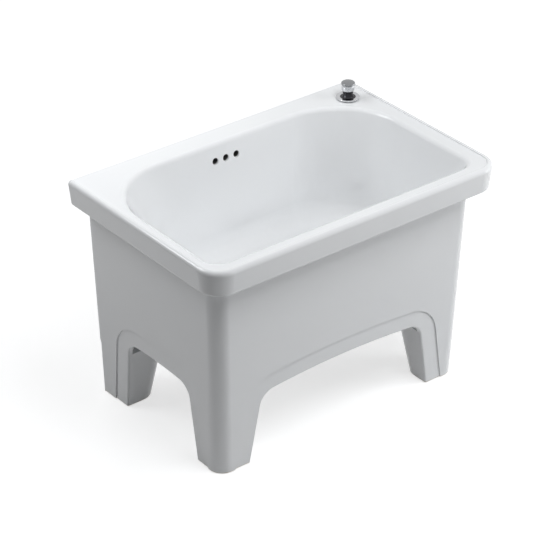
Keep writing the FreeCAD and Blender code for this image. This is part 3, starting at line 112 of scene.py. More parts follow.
# Lamps: name, place, aim, width and height in metres, power setting, and whether gloss mirrors them
LAMPS = (
    ("front_box", (0.35, -0.6, 2.2), (0.0, 0.05, 0.25), (0.8, 0.8), "front_power", False),
    ("far_box", (0.1, -1.1, 2.0), (0.0, 0.05, 0.25), (0.8, 0.8), "far_power", False),
    ("deck_box", (-0.12, 0.62, 0.95), (-0.08, 0.15, 0.42), (0.5, 0.3), "deck_power", False),
    ("right_box", (1.3, -1.0, 1.2), (0.1, -0.1, 0.2), (0.7, 0.7), "right_power", False),
    ("back_box", (-0.8, 0.6, 1.3), (-0.1, 0.05, 0.3), (0.6, 0.6), "back_power", True),
    ("low_box", (1.5, -0.9, 0.4), (0.2, -0.1, 0.1), (0.6, 0.5), "low_power", True))
LAMP_COLOUR = (0.97, 0.985, 1)

# Floor in metres: its width, its drop under the feet, and where its glow starts and ends its rise
FLOOR_WIDTH = 30
FLOOR_DROP = 0.0004
GLOW_REACH = (0.6, 2.0)

# Width of the camera's sensor, in millimetres
SENSOR_WIDTH = 36


# Sizes and colours that a user would change

class GlazeSettings(bpy.types.PropertyGroup):
    """Colours and surface of the china and its glaze"""
    body: FloatVectorProperty(
        name="Glaze", description="Colour of the glazed china", subtype="COLOR",
        min=0, max=1, default=(0.90, 0.905, 0.91))
    pooled: FloatVectorProperty(
        name="Pooled Glaze", description="Colour where the glaze lies thicker", subtype="COLOR",
        min=0, max=1, default=(0.85, 0.865, 0.88))
    biscuit: FloatVectorProperty(
        name="Biscuit", description="Bare fired clay under the feet", subtype="COLOR",
        min=0, max=1, default=(0.70, 0.62, 0.52))
    # Painted shade: the near-black passage colour stands in for the shade deep inside the overflow, and is
    # no colour of the clay
    passage: FloatVectorProperty(
        name="Passage", description="Dull unglazed clay inside the overflow's passage", subtype="COLOR",
        min=0, max=1, default=(0.075, 0.07, 0.066))
    roughness: FloatProperty(
        name="Roughness", description="Roughness of the glaze", subtype="FACTOR",
        min=0, max=1, default=0.07)
    bare_foot: FloatProperty(
        name="Bare Foot", description="Height of the unglazed edge of the feet", unit="LENGTH",
        default=0.0022)


class MetalSettings(bpy.types.PropertyGroup):
    """Colours of the metal fittings"""
    chrome: FloatVectorProperty(
        name="Chrome", description="Colour of the polished chrome plate", subtype="COLOR",
        min=0, max=1, default=(0.66, 0.67, 0.69))
    # Painted reflection: the cap colour darkens the chrome on the knob's top for the darker surroundings
    # mirrored there
    cap: FloatVectorProperty(
        name="Knob Cap", description="Colour of the knob's satin cap", subtype="COLOR",
        min=0, max=1, default=(0.34, 0.35, 0.36))
    # Painted shade: the collar colour darkens the chrome under the knob and in the plate's middle, where
    # shade falls round the collar
    collar: FloatVectorProperty(
        name="Collar", description="Colour of the dark plating under the knob", subtype="COLOR",
        min=0, max=1, default=(0.06, 0.06, 0.065))
    brass: FloatVectorProperty(
        name="Brass", description="Colour of the turned brass", subtype="COLOR",
        min=0, max=1, default=(0.78, 0.58, 0.28))
    steel: FloatVectorProperty(
        name="Steel", description="Colour of the brushed steel", subtype="COLOR",
        min=0, max=1, default=(0.60, 0.61, 0.62))


class PlasticSettings(bpy.types.PropertyGroup):
    """Colours of the plastic and rubber fittings"""
    white: FloatVectorProperty(
        name="White Plastic", description="Colour of the moulded white plastic", subtype="COLOR",
        min=0, max=1, default=(0.80, 0.80, 0.77))
    grey: FloatVectorProperty(
        name="Grey Plastic", description="Colour of the moulded grey plastic", subtype="COLOR",
        min=0, max=1, default=(0.36, 0.37, 0.38))
    rubber: FloatVectorProperty(
        name="Rubber", description="Colour of the black rubber", subtype="COLOR",
        min=0, max=1, default=(0.022, 0.022, 0.024))


class FittingSettings(bpy.types.PropertyGroup):
    """Sizes of the nuts, the thread and the grips"""
    lock_flats: FloatProperty(
        name="Lock Nut Flats", description="Lock nut across its flats", unit="LENGTH", default=0.062)
    slip_flats: FloatProperty(
        name="Slip Nut Flats", description="Slip nut across its flats", unit="LENGTH", default=0.0484)
    sleeve_flats: FloatProperty(
        name="Sleeve Nut Flats", description="Sleeve nut across its flats", unit="LENGTH", default=0.017)
    thread_pitch: FloatProperty(
        name="Thread Pitch", description="Height of one turn of the sleeve's thread", unit="LENGTH",
        default=0.0015)
    grip_depth: FloatProperty(
        name="Grip Depth", description="Depth of the cap nut's grooves", unit="LENGTH", default=0.0007)
    knurl_depth: FloatProperty(
        name="Knurl Depth", description="Depth of the thumb screw's grooves", unit="LENGTH",
        default=0.0004)


class StageSettings(bpy.types.PropertyGroup):
    """Camera, lamps and floor"""
    azimuth: FloatProperty(
        name="Azimuth", description="Camera's turn round the sink", subtype="ANGLE",
        default=math.radians(-38.2919))
    elevation: FloatProperty(
        name="Elevation", description="Camera's height above the horizon", subtype="ANGLE",
        default=math.radians(31.1127))
    distance: FloatProperty(
        name="Distance", description="Camera to the point it looks at", unit="LENGTH", default=4.0)
    aim_right: FloatProperty(
        name="Aim Right", description="Aim to the right of the rim's middle", unit="LENGTH",
        default=-0.009782)
    aim_up: FloatProperty(
        name="Aim Up", description="Aim above the rim's middle", unit="LENGTH", default=-0.178378)
    lens: FloatProperty(
        name="Lens", description="Focal length in millimetres", default=156.83)
    far_power: FloatProperty(
        name="Far Lamp", description="Power of the lamp further to the front, in watts", default=13.2)
    deck_power: FloatProperty(
        name="Deck Lamp", description="Power of the small lamp behind the deck, in watts", default=2)
    front_power: FloatProperty(
        name="Front Lamp", description="Power of the lamp high at the front, in watts", default=10)
    back_power: FloatProperty(
        name="Back Lamp", description="Power of the lamp behind the left end, in watts", default=5.5)
    right_power: FloatProperty(
        name="Right Lamp", description="Power of the raised lamp at the front right, in watts", default=6.5)
    low_power: FloatProperty(
        name="Low Lamp", description="Power of the low lamp at the front right, in watts", default=5.7)
    ambient: FloatProperty(
        name="Ambient", description="Strength of the room's own light", default=0.02)
    floor_tone: FloatProperty(
        name="Floor Tone", description="Grey level of the floor's paint", subtype="FACTOR",
        min=0, max=1, default=0.62)
    floor_glow: FloatProperty(
        name="Floor Glow", description="Strength of the floor's white near the sink", subtype="FACTOR",
        min=0, max=1, default=0.66)


# Node helpers

def add_node(tree, kind, x, y, **settings):
    """A new node at a place in its tree, with its settings."""
    node = tree.nodes.new(kind)
    node.location = (x, y)
    for name, value in settings.items():
        setattr(node, name, value)
    return node


def set_inputs(node, **values):
    """Sets a node's inputs by their names, with _ for a space."""
    for name, value in values.items():
        node.inputs[name.replace("_", " ")].default_value = value
    return node


def math_node(tree, operation, x, y, first, second):
    """A Math node whose two inputs are sockets or numbers."""
    node = add_node(tree, "ShaderNodeMath", x, y, operation=operation)
    for slot, value in enumerate((first, second)):
        if isinstance(value, bpy.types.NodeSocket):
            tree.links.new(value, node.inputs[slot])
        else:
            node.inputs[slot].default_value = value
    return node.outputs[0]


def mix_colours(tree, x, y, factor, first, second):
    """A Mix node between two colours, each a socket or a colour."""
    node = add_node(tree, "ShaderNodeMix", x, y, data_type="RGBA")
    tree.links.new(factor, node.inputs["Factor"])
    for name, value in (("A", first), ("B", second)):
        socket = [s for s in node.inputs if s.name == name and s.type == "RGBA"][0]
        if isinstance(value, bpy.types.NodeSocket):
            tree.links.new(value, socket)
        else:
            socket.default_value = (*value, 1)
    return [s for s in node.outputs if s.type == "RGBA"][0]


def map_range(tree, x, y, value, low, high, to_low, to_high):
    """A Map Range node from one pair of limits to another."""
    node = add_node(tree, "ShaderNodeMapRange", x, y)
    tree.links.new(value, node.inputs["Value"])
    set_inputs(node, From_Min=low, From_Max=high, To_Min=to_low, To_Max=to_high)
    return node.outputs["Result"]


def within(tree, x, y, value, low, high):
    """1 where a value lies between two limits, and 0 elsewhere."""
    above = math_node(tree, "GREATER_THAN", x, y, value, low)
    below = math_node(tree, "LESS_THAN", x, y - 160, value, high)
    return math_node(tree, "MULTIPLY", x + 180, y, above, below)


def noise(tree, x, y, vector, scale, detail, roughness=0.5):
    """A Noise Texture's values, at a scale that is a socket or a number."""
    node = add_node(tree, "ShaderNodeTexNoise", x, y)
    set_inputs(node, Detail=detail, Roughness=roughness)
    if isinstance(scale, bpy.types.NodeSocket):
        tree.links.new(scale, node.inputs["Scale"])
    else:
        node.inputs["Scale"].default_value = scale
    tree.links.new(vector, node.inputs["Vector"])
    return node.outputs["Fac"]


def bump(tree, x, y, height, strength, distance, normal=None):
    """A Bump node's normal, on top of another bump's where one is given."""
    node = add_node(tree, "ShaderNodeBump", x, y)
    set_inputs(node, Strength=strength, Distance=distance)
    tree.links.new(height, node.inputs["Height"])
    if normal is not None:
        tree.links.new(normal, node.inputs["Normal"])
    return node.outputs["Normal"]


def group_sockets(tree, inputs, outputs):
    """Gives a node group its named sockets, and its two end nodes."""
    for kind, name, default in inputs:
        tree.interface.new_socket(name, in_out="INPUT", socket_type=kind).default_value = default
    for kind, name in outputs:
        tree.interface.new_socket(name, in_out="OUTPUT", socket_type=kind)
    return add_node(tree, "NodeGroupInput", -900, 0), add_node(tree, "NodeGroupOutput", 700, 0)


def cloud_group():
    """Slow drift of tone over a surface, with a finer cloud on it."""
    name = "Tone Drift"
    if name in bpy.data.node_groups:
        return bpy.data.node_groups[name]
    tree = bpy.data.node_groups.new(name, "ShaderNodeTree")
    start, end = group_sockets(
        tree, [("NodeSocketFloat", "Scale", 4.0), ("NodeSocketFloat", "Fine Scale", 40.0)],
        [("NodeSocketFloat", "Tone"), ("NodeSocketFloat", "Fine")])
    place = add_node(tree, "ShaderNodeTexCoord", -900, -300).outputs["Object"]
    slow = noise(tree, -600, 100, place, start.outputs["Scale"], detail=2)
    fine = noise(tree, -600, -200, place, start.outputs["Fine Scale"], detail=4, roughness=0.6)
    tree.links.new(map_range(tree, -200, 100, slow, 0.3, 0.7, 0, 1), end.inputs["Tone"])
    tree.links.new(map_range(tree, -200, -200, fine, 0.3, 0.7, 0, 1), end.inputs["Fine"])
    return tree


def scratch_group():
    """Fine marks drawn out along one direction, as brushing or handling leaves them."""
    name = "Drawn Marks"
    if name in bpy.data.node_groups:
        return bpy.data.node_groups[name]
    tree = bpy.data.node_groups.new(name, "ShaderNodeTree")
    start, end = group_sockets(
        tree, [("NodeSocketVector", "Stretch", (1.0, 1.0, 1.0)), ("NodeSocketFloat", "Scale", 300.0)],
        [("NodeSocketFloat", "Marks"), ("NodeSocketFloat", "Height")])
    place = add_node(tree, "ShaderNodeTexCoord", -900, -300).outputs["Object"]
    drawn = add_node(tree, "ShaderNodeVectorMath", -650, -100, operation="MULTIPLY")
    tree.links.new(place, drawn.inputs[0])
    tree.links.new(start.outputs["Stretch"], drawn.inputs[1])
    lines = noise(tree, -400, 0, drawn.outputs[0], start.outputs["Scale"], detail=5, roughness=0.65)
    tree.links.new(map_range(tree, -100, 100, lines, 0.35, 0.75, 0, 1), end.inputs["Marks"])
    tree.links.new(lines, end.inputs["Height"])
    return tree


def place_group(tree, group, x, y, **values):
    """A node group in a material's tree, with the values of its inputs."""
    node = add_node(tree, "ShaderNodeGroup", x, y, node_tree=group)
    return set_inputs(node, **values)


def new_material(name):
    """A material with a Principled shader; returns it with its tree and shader."""
    material = bpy.data.materials.new(name)
    material.use_nodes = True
    tree = material.node_tree
    tree.nodes.clear()
    output = add_node(tree, "ShaderNodeOutputMaterial", 900, 0)
    shader = add_node(tree, "ShaderNodeBsdfPrincipled", 560, 0)
    tree.links.new(shader.outputs["BSDF"], output.inputs["Surface"])
    return material, tree, shader


def add_tint(tree, shader, mask, colour, other):
    """Links a mix of two colours, by a mask, to a shader's colour."""
    tree.links.new(mix_colours(tree, -200, 250, mask, colour, other), shader.inputs["Base Color"])


def add_gloss(tree, shader, mask, low, high):
    """Links a mask, spread between two limits, to a shader's roughness."""
    tree.links.new(map_range(tree, -200, 0, mask, 0, 1, low, high), shader.inputs["Roughness"])


def add_relief(tree, shader, height, strength, distance):
    """Links a bump of a height map to a shader's normal."""
    tree.links.new(bump(tree, -200, -250, height, strength, distance), shader.inputs["Normal"])


def darkened(colour, share):
    """A colour at a share of its brightness."""
    return tuple(part * share for part in colour)


def dress(node, material):
    """Gives a solid-model node a material in place of its plain one."""
    for slot in NODES[node].material_slots:
        slot.material = material


# Materials

def glazed_china(settings):
    """White china under a wavy clear glaze, bare at the feet, and dull inside the overflow, where painted
    shade also darkens its passage.
    """
    material, tree, shader = new_material("glazed_china")
    place = add_node(tree, "ShaderNodeTexCoord", -1100, -400).outputs["Object"]
    drift = place_group(tree, cloud_group(), -800, 200, Scale=3.2, Fine_Scale=55.0)
    tone = math_node(tree, "MULTIPLY", -500, 250, drift.outputs["Tone"], 0.45)
    glaze = mix_colours(tree, -300, 250, tone, settings.body, settings.pooled)

    split = add_node(tree, "ShaderNodeSeparateXYZ", -850, -150)
    tree.links.new(place, split.inputs[0])
    ragged = map_range(tree, -600, -50, drift.outputs["Fine"], 0, 1, -RAGGED_EDGE, RAGGED_EDGE)
    height = math_node(tree, "ADD", -420, -100, split.outputs["Z"], ragged)
    foot = math_node(tree, "LESS_THAN", -240, -100, height, settings.bare_foot)
    footed = mix_colours(tree, 0, 250, foot, glaze, settings.biscuit)
    # Painted shade: the overflow's passage behind the holes is coloured near-black for the shade deep
    # inside it; only its rougher gloss below belongs to the unglazed clay
    across = within(tree, -600, -1000, split.outputs["X"], *PASSAGE_ACROSS)
    deep = within(tree, -600, -1350, split.outputs["Y"], *PASSAGE_DEPTH)
    upright = within(tree, -600, -1700, split.outputs["Z"], *PASSAGE_HEIGHT)
    behind = math_node(tree, "MULTIPLY", -200, -1200, across, deep)
    passage = math_node(tree, "MULTIPLY", -50, -1350, behind, upright)
    passage_shaded = mix_colours(tree, 200, 250, passage, footed, settings.passage)
    tree.links.new(passage_shaded, shader.inputs["Base Color"])

    soft = map_range(tree, -240, 60, drift.outputs["Fine"], 0, 1,
                     settings.roughness * 0.7, settings.roughness * 1.4)
    bare = math_node(tree, "MAXIMUM", -100, -300, foot, passage)
    dry = math_node(tree, "MULTIPLY", -50, -100, bare, 0.65)
    tree.links.new(math_node(tree, "ADD", 120, 40, soft, dry), shader.inputs["Roughness"])

    waves = noise(tree, -600, -500, place, scale=9.0, detail=1)
    peel = noise(tree, -600, -750, place, scale=140.0, detail=2)
    wavy = bump(tree, -200, -500, waves, strength=0.10, distance=0.004)
    peeled = bump(tree, 100, -600, peel, strength=0.03, distance=0.0006, normal=wavy)
    tree.links.new(peeled, shader.inputs["Normal"])
    shader.inputs["IOR"].default_value = 1.52
    shader.inputs["Coat Weight"].default_value = 0.35
    shader.inputs["Coat Roughness"].default_value = 0.02
    return material


def polished_chrome(name, colour, gloss):
    """Chrome plate, with faint wiping marks in its gloss."""
    material, tree, shader = new_material(name)
    drift = place_group(tree, cloud_group(), -800, 200, Scale=60.0, Fine_Scale=900.0)
    marks = place_group(tree, scratch_group(), -800, -150, Scale=900.0, Stretch=(1.0, 1.0, 0.12))
    tone = math_node(tree, "MULTIPLY", -450, 250, drift.outputs["Tone"], 0.5)
    add_tint(tree, shader, tone, colour, darkened(colour, 0.86))
    add_gloss(tree, shader, marks.outputs["Marks"], gloss, gloss + 0.08)
    add_relief(tree, shader, marks.outputs["Height"], strength=0.02, distance=0.0002)
    shader.inputs["Metallic"].default_value = 1
    return material


def turned_brass(name, colour):
    """Brass from the lathe: fine rings and a slight tarnish."""
    material, tree, shader = new_material(name)
    drift = place_group(tree, cloud_group(), -800, 200, Scale=90.0, Fine_Scale=700.0)
    marks = place_group(tree, scratch_group(), -800, -150, Scale=260.0, Stretch=(0.15, 0.15, 6.0))
    tarnish = tuple(part * share for part, share in zip(colour, (0.62, 0.56, 0.5)))
    tone = math_node(tree, "MULTIPLY", -450, 250, drift.outputs["Tone"], 0.6)
    add_tint(tree, shader, tone, colour, tarnish)
    add_gloss(tree, shader, marks.outputs["Marks"], low=0.18, high=0.38)
    add_relief(tree, shader, marks.outputs["Height"], strength=0.15, distance=0.0002)
    shader.inputs["Metallic"].default_value = 1
    return material


def brushed_steel(name, colour):
    """Rolled steel strip, brushed along its length."""
    material, tree, shader = new_material(name)
    drift = place_group(tree, cloud_group(), -800, 200, Scale=40.0, Fine_Scale=500.0)
    marks = place_group(tree, scratch_group(), -800, -150, Scale=420.0, Stretch=(1.0, 1.0, 0.04))
    add_tint(tree, shader, marks.outputs["Marks"], colour, darkened(colour, 0.72))
    add_gloss(tree, shader, drift.outputs["Tone"], low=0.26, high=0.38)
    add_relief(tree, shader, marks.outputs["Height"], strength=0.12, distance=0.0002)
    shader.inputs["Metallic"].default_value = 1
    return material


def moulded_plastic(name, colour, rough, grain):
    """Injection-moulded plastic with a fine tool grain."""
    material, tree, shader = new_material(name)
    drift = place_group(tree, cloud_group(), -800, 200, Scale=45.0, Fine_Scale=grain)
    tone = math_node(tree, "MULTIPLY", -450, 250, drift.outputs["Tone"], 0.7)
    add_tint(tree, shader, tone, colour, darkened(colour, 0.84))
    add_gloss(tree, shader, drift.outputs["Fine"], rough * 0.8, rough * 1.25)
    add_relief(tree, shader, drift.outputs["Fine"], strength=0.08, distance=0.0003)
    return material


def black_rubber(name, colour):
    """Moulded rubber: matt, a little dusty."""
    material, tree, shader = new_material(name)
    drift = place_group(tree, cloud_group(), -800, 200, Scale=70.0, Fine_Scale=1100.0)
    dusty = tuple(part * 2.6 + 0.01 for part in colour)
    tone = math_node(tree, "MULTIPLY", -450, 250, drift.outputs["Tone"], drift.outputs["Fine"])
    add_tint(tree, shader, tone, colour, dusty)
    add_gloss(tree, shader, drift.outputs["Fine"], low=0.55, high=0.8)
    add_relief(tree, shader, drift.outputs["Fine"], strength=0.15, distance=0.0003)
    return material


def finish(slot):
    """The material of one of the record's slots other than the china, made once."""
    metal = bpy.context.scene.mopsink_metal
    plastic = bpy.context.scene.mopsink_plastic
    # Maker, name and colour, then the roughness and the grain's scale where the maker takes them
    makers = {
        "chrome": (polished_chrome, "polished_chrome", metal.chrome, 0.035),
        "brass": (turned_brass, "turned_brass", metal.brass),
        "steel": (brushed_steel, "brushed_steel", metal.steel),
        "rubber": (black_rubber, "black_rubber", plastic.rubber),
        "white_plastic": (moulded_plastic, "white_plastic_moulding", plastic.white, 0.32, 600.0),
        "grey_plastic": (moulded_plastic, "grey_plastic_moulding", plastic.grey, 0.42, 420.0),
    }
    make, name, *values = makers[slot]
    return bpy.data.materials.get(name) or make(name, *values)


# Modelling helpers

def middle_of(node):
    """The middle of a node's box."""
    low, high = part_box(node)
    return (low + high) / 2


def ends_of(node):
    """The lowest and highest point of a node, in millimetres."""
    low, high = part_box(node)
    return low.z * 1000, high.z * 1000


def in_metres(outline):
    """An outline's radius and height pairs, turned from millimetres to metres."""
    return [(radius / 1000, height / 1000) for radius, height in outline]


def name_piece(piece, name):
    """Gives a piece and its mesh one name."""
    piece.name = name
    piece.data.name = name


def select_only(piece):
    """Selects one piece and makes it the active one."""
    bpy.ops.object.select_all(action="DESELECT")
    piece.select_set(True)
    bpy.context.view_layer.objects.active = piece


def start_outline(name, place):
    """A new piece that is one vertex at a place, left in edit mode."""
    bpy.ops.object.select_all(action="DESELECT")
    bpy.ops.mesh.primitive_plane_add(size=0.001, location=place)
    piece = bpy.context.object
    name_piece(piece, name)
    bpy.ops.object.transform_apply(location=True, rotation=False, scale=False)
    bpy.ops.object.mode_set(mode="EDIT")
    bpy.ops.mesh.select_mode(type="VERT")
    bpy.ops.mesh.select_all(action="SELECT")
    bpy.ops.mesh.merge(type="CENTER")
    return piece


def pick_points(piece, test):
    """Selects the vertices whose place passes a test."""
    shape = bmesh.from_edit_mesh(piece.data)
    for vertex in shape.verts:
        vertex.select = test(vertex.co)
    shape.select_flush_mode()
    bmesh.update_edit_mesh(piece.data)


def pick_faces(piece, test):
    """Selects the faces whose middle and normal pass a test."""
    bpy.ops.mesh.select_mode(type="FACE")
    shape = bmesh.from_edit_mesh(piece.data)
    for face in shape.faces:
        face.select = test(face.calc_center_median(), face.normal)
    shape.select_flush_mode()
    bmesh.update_edit_mesh(piece.data)


def close_piece(angle):
    """Merges the doubles of the piece in edit mode, turns its faces outwards and smooths the round ones."""
    bpy.ops.mesh.select_all(action="SELECT")
    bpy.ops.mesh.remove_doubles(threshold=PIECE_MERGE)
    bpy.ops.mesh.normals_make_consistent(inside=False)
    bpy.ops.object.mode_set(mode="OBJECT")
    bpy.ops.object.shade_smooth_by_angle(angle=math.radians(angle))


def turn_outline(name, outline, axis=Vector(), rounding=0.0003, steps=72):
    """Turns an outline of radius and height pairs about an upright axis."""
    piece = start_outline(name, (axis.x + outline[0][0], axis.y, outline[0][1]))
    for (radius, height), (next_radius, next_height) in zip(outline, outline[1:]):
        step = (next_radius - radius, 0, next_height - height)
        bpy.ops.mesh.extrude_region_move(TRANSFORM_OT_translate={"value": step})
    bpy.ops.mesh.select_all(action="SELECT")
    bpy.ops.mesh.remove_doubles(threshold=OUTLINE_MERGE)
    pick_points(piece, lambda place: place.x - axis.x > ON_AXIS)
    bpy.ops.mesh.bevel(offset=rounding, segments=3, affect="VERTICES", clamp_overlap=True)
    bpy.ops.mesh.select_all(action="SELECT")
    bpy.ops.mesh.spin(steps=steps, angle=math.tau, center=(axis.x, axis.y, 0), axis=(0, 0, 1))
    close_piece(angle=40)
    return piece


def groove_grip(piece, reach, low, high, count, depth):
    """Presses every second strip of the rim of a piece turned at the origin inwards, as a grip."""
    bpy.ops.object.mode_set(mode="EDIT")

    def is_groove(middle, normal):
        strip = int(math.atan2(middle.y, middle.x) % math.tau / math.tau * count)
        on_rim = middle.xy.length > reach and abs(normal.z) < RIM_TILT
        return strip % 2 == 0 and on_rim and low < middle.z < high

    pick_faces(piece, is_groove)
    bpy.ops.mesh.extrude_region_shrink_fatten(TRANSFORM_OT_shrink_fatten={"value": -depth})
    close_piece(angle=30)


def lever_frame(reach):
    """Place and turn of a piece laid along the lever, at a distance from the waste's axis."""
    waste = middle_of("tailpiece")
    lift = middle_of("lift_knob")
    ball = middle_of("pivot_ball")
    along = Vector((lift.x - waste.x, lift.y - waste.y, 0)).normalized()
    turn = along.to_track_quat("Z", "Y").to_matrix().to_4x4()
    return Matrix.Translation(Vector((waste.x, waste.y, ball.z)) + along * reach) @ turn


def lay_along(piece, place):
    """Moves an upright piece at the origin to its own place and direction."""
    select_only(piece)
    piece.matrix_world = place
    bpy.ops.object.transform_apply(location=True, rotation=True, scale=True)


def hexagon_piece(name, node, flats, ring):
    """Hexagon at a node's place, cut to a turned ring that chamfers its corners and opens its bore."""
    low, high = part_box(node)
    middle = middle_of(node)
    bpy.ops.object.select_all(action="DESELECT")
    turn = math.radians(30) if high.x - low.x > high.y - low.y else 0
    bpy.ops.mesh.primitive_cylinder_add(
        vertices=6, radius=flats / math.sqrt(3), depth=high.z - low.z + CUT_MARGIN,
        location=middle, rotation=(0, 0, turn))
    piece = bpy.context.object
    name_piece(piece, name)
    bpy.ops.object.transform_apply(location=True, rotation=True, scale=True)
    outline = [(radius, low.z + height) for radius, height in ring]
    tool = turn_outline(f"{name}_ring", outline, middle, rounding=0.0002)
    select_only(piece)
    cut = piece.modifiers.new("chamfer", "BOOLEAN")
    cut.operation = "INTERSECT"
    cut.solver = "EXACT"
    cut.object = tool
    bpy.ops.object.modifier_apply(modifier="chamfer")
    bpy.data.objects.remove(tool)
    if len(piece.data.polygons) < NUT_FACES:
        raise RuntimeError(f"{name} lost its faces")
    bpy.ops.object.mode_set(mode="EDIT")
    close_piece(angle=25)
    return piece


def soften_copy(name, node, width):
    """A copy of a node, merged and with its sharp edges rounded."""
    piece = NODES[node].copy()
    piece.data = NODES[node].data.copy()
    name_piece(piece, name)
    piece.parent = None
    piece.matrix_world = Matrix.Identity(4)
    piece.data.materials.clear()
    bpy.context.collection.objects.link(piece)
    select_only(piece)
    if piece.data.has_custom_normals:
        bpy.ops.mesh.customdata_custom_splitnormals_clear()
    bpy.ops.object.mode_set(mode="EDIT")
    bpy.ops.mesh.select_all(action="SELECT")
    bpy.ops.mesh.remove_doubles(threshold=COPY_MERGE)
    bpy.ops.mesh.dissolve_limited(angle_limit=math.radians(0.4))
    bpy.ops.object.mode_set(mode="OBJECT")
    edge = piece.modifiers.new("rounding", "BEVEL")
    edge.width = width
    edge.segments = 2
    edge.limit_method = "ANGLE"
    edge.angle_limit = math.radians(40)
    edge.use_clamp_overlap = True
    bpy.ops.object.modifier_apply(modifier="rounding")
    bpy.ops.object.shade_smooth_by_angle(angle=math.radians(35))
    return piece


def paint(piece, material, test):
    """Gives the faces whose middle passes a test another material; here that lays painted shade and a
    painted darker reflection on the knob and its plate.
    """
    piece.data.materials.append(material)
    slot = len(piece.data.materials) - 1
    for face in piece.data.polygons:
        if test(face.center):
            face.material_index = slot


def stand_for(piece, node, body):
    """Lets a piece ride its body in place of a node, with that node's finish unless it has its own."""
    slot = SLOTS[node]
    if not piece.data.materials:
        piece.data.materials.append(finish(slot))
    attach(piece, body)
    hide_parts(node)


# Stage helpers

def view_axes(azimuth, elevation):
    """Right, up and back directions of a camera turned by azimuth and raised by elevation."""
    back = Vector((math.sin(azimuth) * math.cos(elevation), -math.cos(azimuth) * math.cos(elevation),
                   math.sin(elevation)))
    right = Vector((math.cos(azimuth), math.sin(azimuth), 0))
    return right, back.cross(right), back


def background_rays(tree, x, y):
    """1 for rays that should meet the white background: seen, mirrored or let through."""
    path = add_node(tree, "ShaderNodeLightPath", x, y)
    mirrored = math_node(tree, "MAXIMUM", x + 200, y, path.outputs["Is Camera Ray"],
                         path.outputs["Is Glossy Ray"])
    return math_node(tree, "MAXIMUM", x + 400, y, mirrored, path.outputs["Is Transmission Ray"])


def add_lamp(name, place, aim, size, power, mirrored):
    """An area lamp that faces a point, and that glossy surfaces mirror or not."""
    bpy.ops.object.light_add(type="AREA", location=place)
    lamp = bpy.context.object
    lamp.name = name
    lamp.data.shape = "RECTANGLE"
    lamp.data.size, lamp.data.size_y = size
    lamp.data.energy = power
    lamp.data.color = LAMP_COLOUR
    lamp.rotation_euler = (Vector(aim) - Vector(place)).to_track_quat("-Z", "Y").to_euler()
    lamp.visible_glossy = mirrored


# Operators

class MOPSINK_OT_casting(bpy.types.Operator):
    """Glaze the china casting"""
    bl_idname = "mopsink.casting"
    bl_label = "China Casting"

    def execute(self, context):
        dress("sink_body", glazed_china(context.scene.mopsink_glaze))
        return {"FINISHED"}


class MOPSINK_OT_knob(bpy.types.Operator):
    """Turn the lift knob, its rod and the plate that it stands on"""
    bl_idname = "mopsink.knob"
    bl_label = "Lift Knob and Plate"

    def execute(self, context):
        metal = context.scene.mopsink_metal
        axis = middle_of("lift_knob")
        low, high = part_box("lift_knob")
        base, top = ends_of("lift_knob")
        knob = turn_outline("turned_knob", in_metres([
            (0, top - 7.5), (2.56, top - 7.5), (2.56, base), (8.4, base), (9.0, base + 0.6),
            (9.0, base + 2.4), (10.4, base + 2.9), (11.2, base + 4.2), (11.7, top - 7.2),
            (11.3, top - 6.6), (11.3, top - 6.1), (12.0, top - 5.6), (12.2, top - 4.8), (12.2, top - 2.9),
            (11.7, top - 1.9), (10.4, top - 1.2), (8.2, top - 0.66), (5.4, top - 0.26), (2.6, top - 0.06),
            (0, top)]), axis)
        knob.data.materials.append(finish("chrome"))
        # Painted reflection: the cap's top gets a darker copy of the chrome, with a slightly rougher gloss
        satin_and_painted_reflection = polished_chrome("satin_cap", metal.cap, gloss=0.16)
        # Painted shade: a near-black copy of the chrome under the knob and in the plate's middle
        painted_shade = polished_chrome("shaded_collar", metal.collar, gloss=0.05)
        paint(knob, satin_and_painted_reflection, lambda middle: middle.z > high.z - CAP_DEPTH)
        paint(knob, painted_shade, lambda middle: middle.z < low.z + COLLAR_HEIGHT)
        stand_for(knob, "lift_knob", "lift")

        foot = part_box("escutcheon")[0].z
        base, top = ends_of("escutcheon")
        plate = turn_outline("deck_plate", in_metres([
            (5.54, base), (20.1, base), (20.5, base + 0.5), (20.5, base + 1.7), (20.0, base + 2.6),
            (19.0, base + 2.9), (17.8, base + 2.6), (14.0, base + 1.7), (11.4, base + 1.5),
            (9.7, base + 2.1), (9.0, base + 3.4), (8.8, top - 1.5), (9.3, top - 0.9), (9.3, top - 0.4),
            (8.9, top), (3.1, top), (3.1, top - 2), (5.54, top - 2), (5.54, base)]), axis, steps=96)
        plate.data.materials.append(finish("chrome"))
        # Painted shade in the plate's middle round the collar
        paint(plate, painted_shade, lambda middle: (middle.xy - axis.xy).length < PLATE_SHADE_RADIUS
              and middle.z > foot + PLATE_SHADE_HEIGHT)
        stand_for(plate, "escutcheon", "sink")

        base, top = ends_of("lift_rod")
        rod = turn_outline("round_end_rod", in_metres([
            (0, base), (1.7, base), (2.5, base + 0.9), (2.5, top - 0.5), (2.0, top),
            (0, top)]), axis, steps=32)
        stand_for(rod, "lift_rod", "lift")
        return {"FINISHED"}


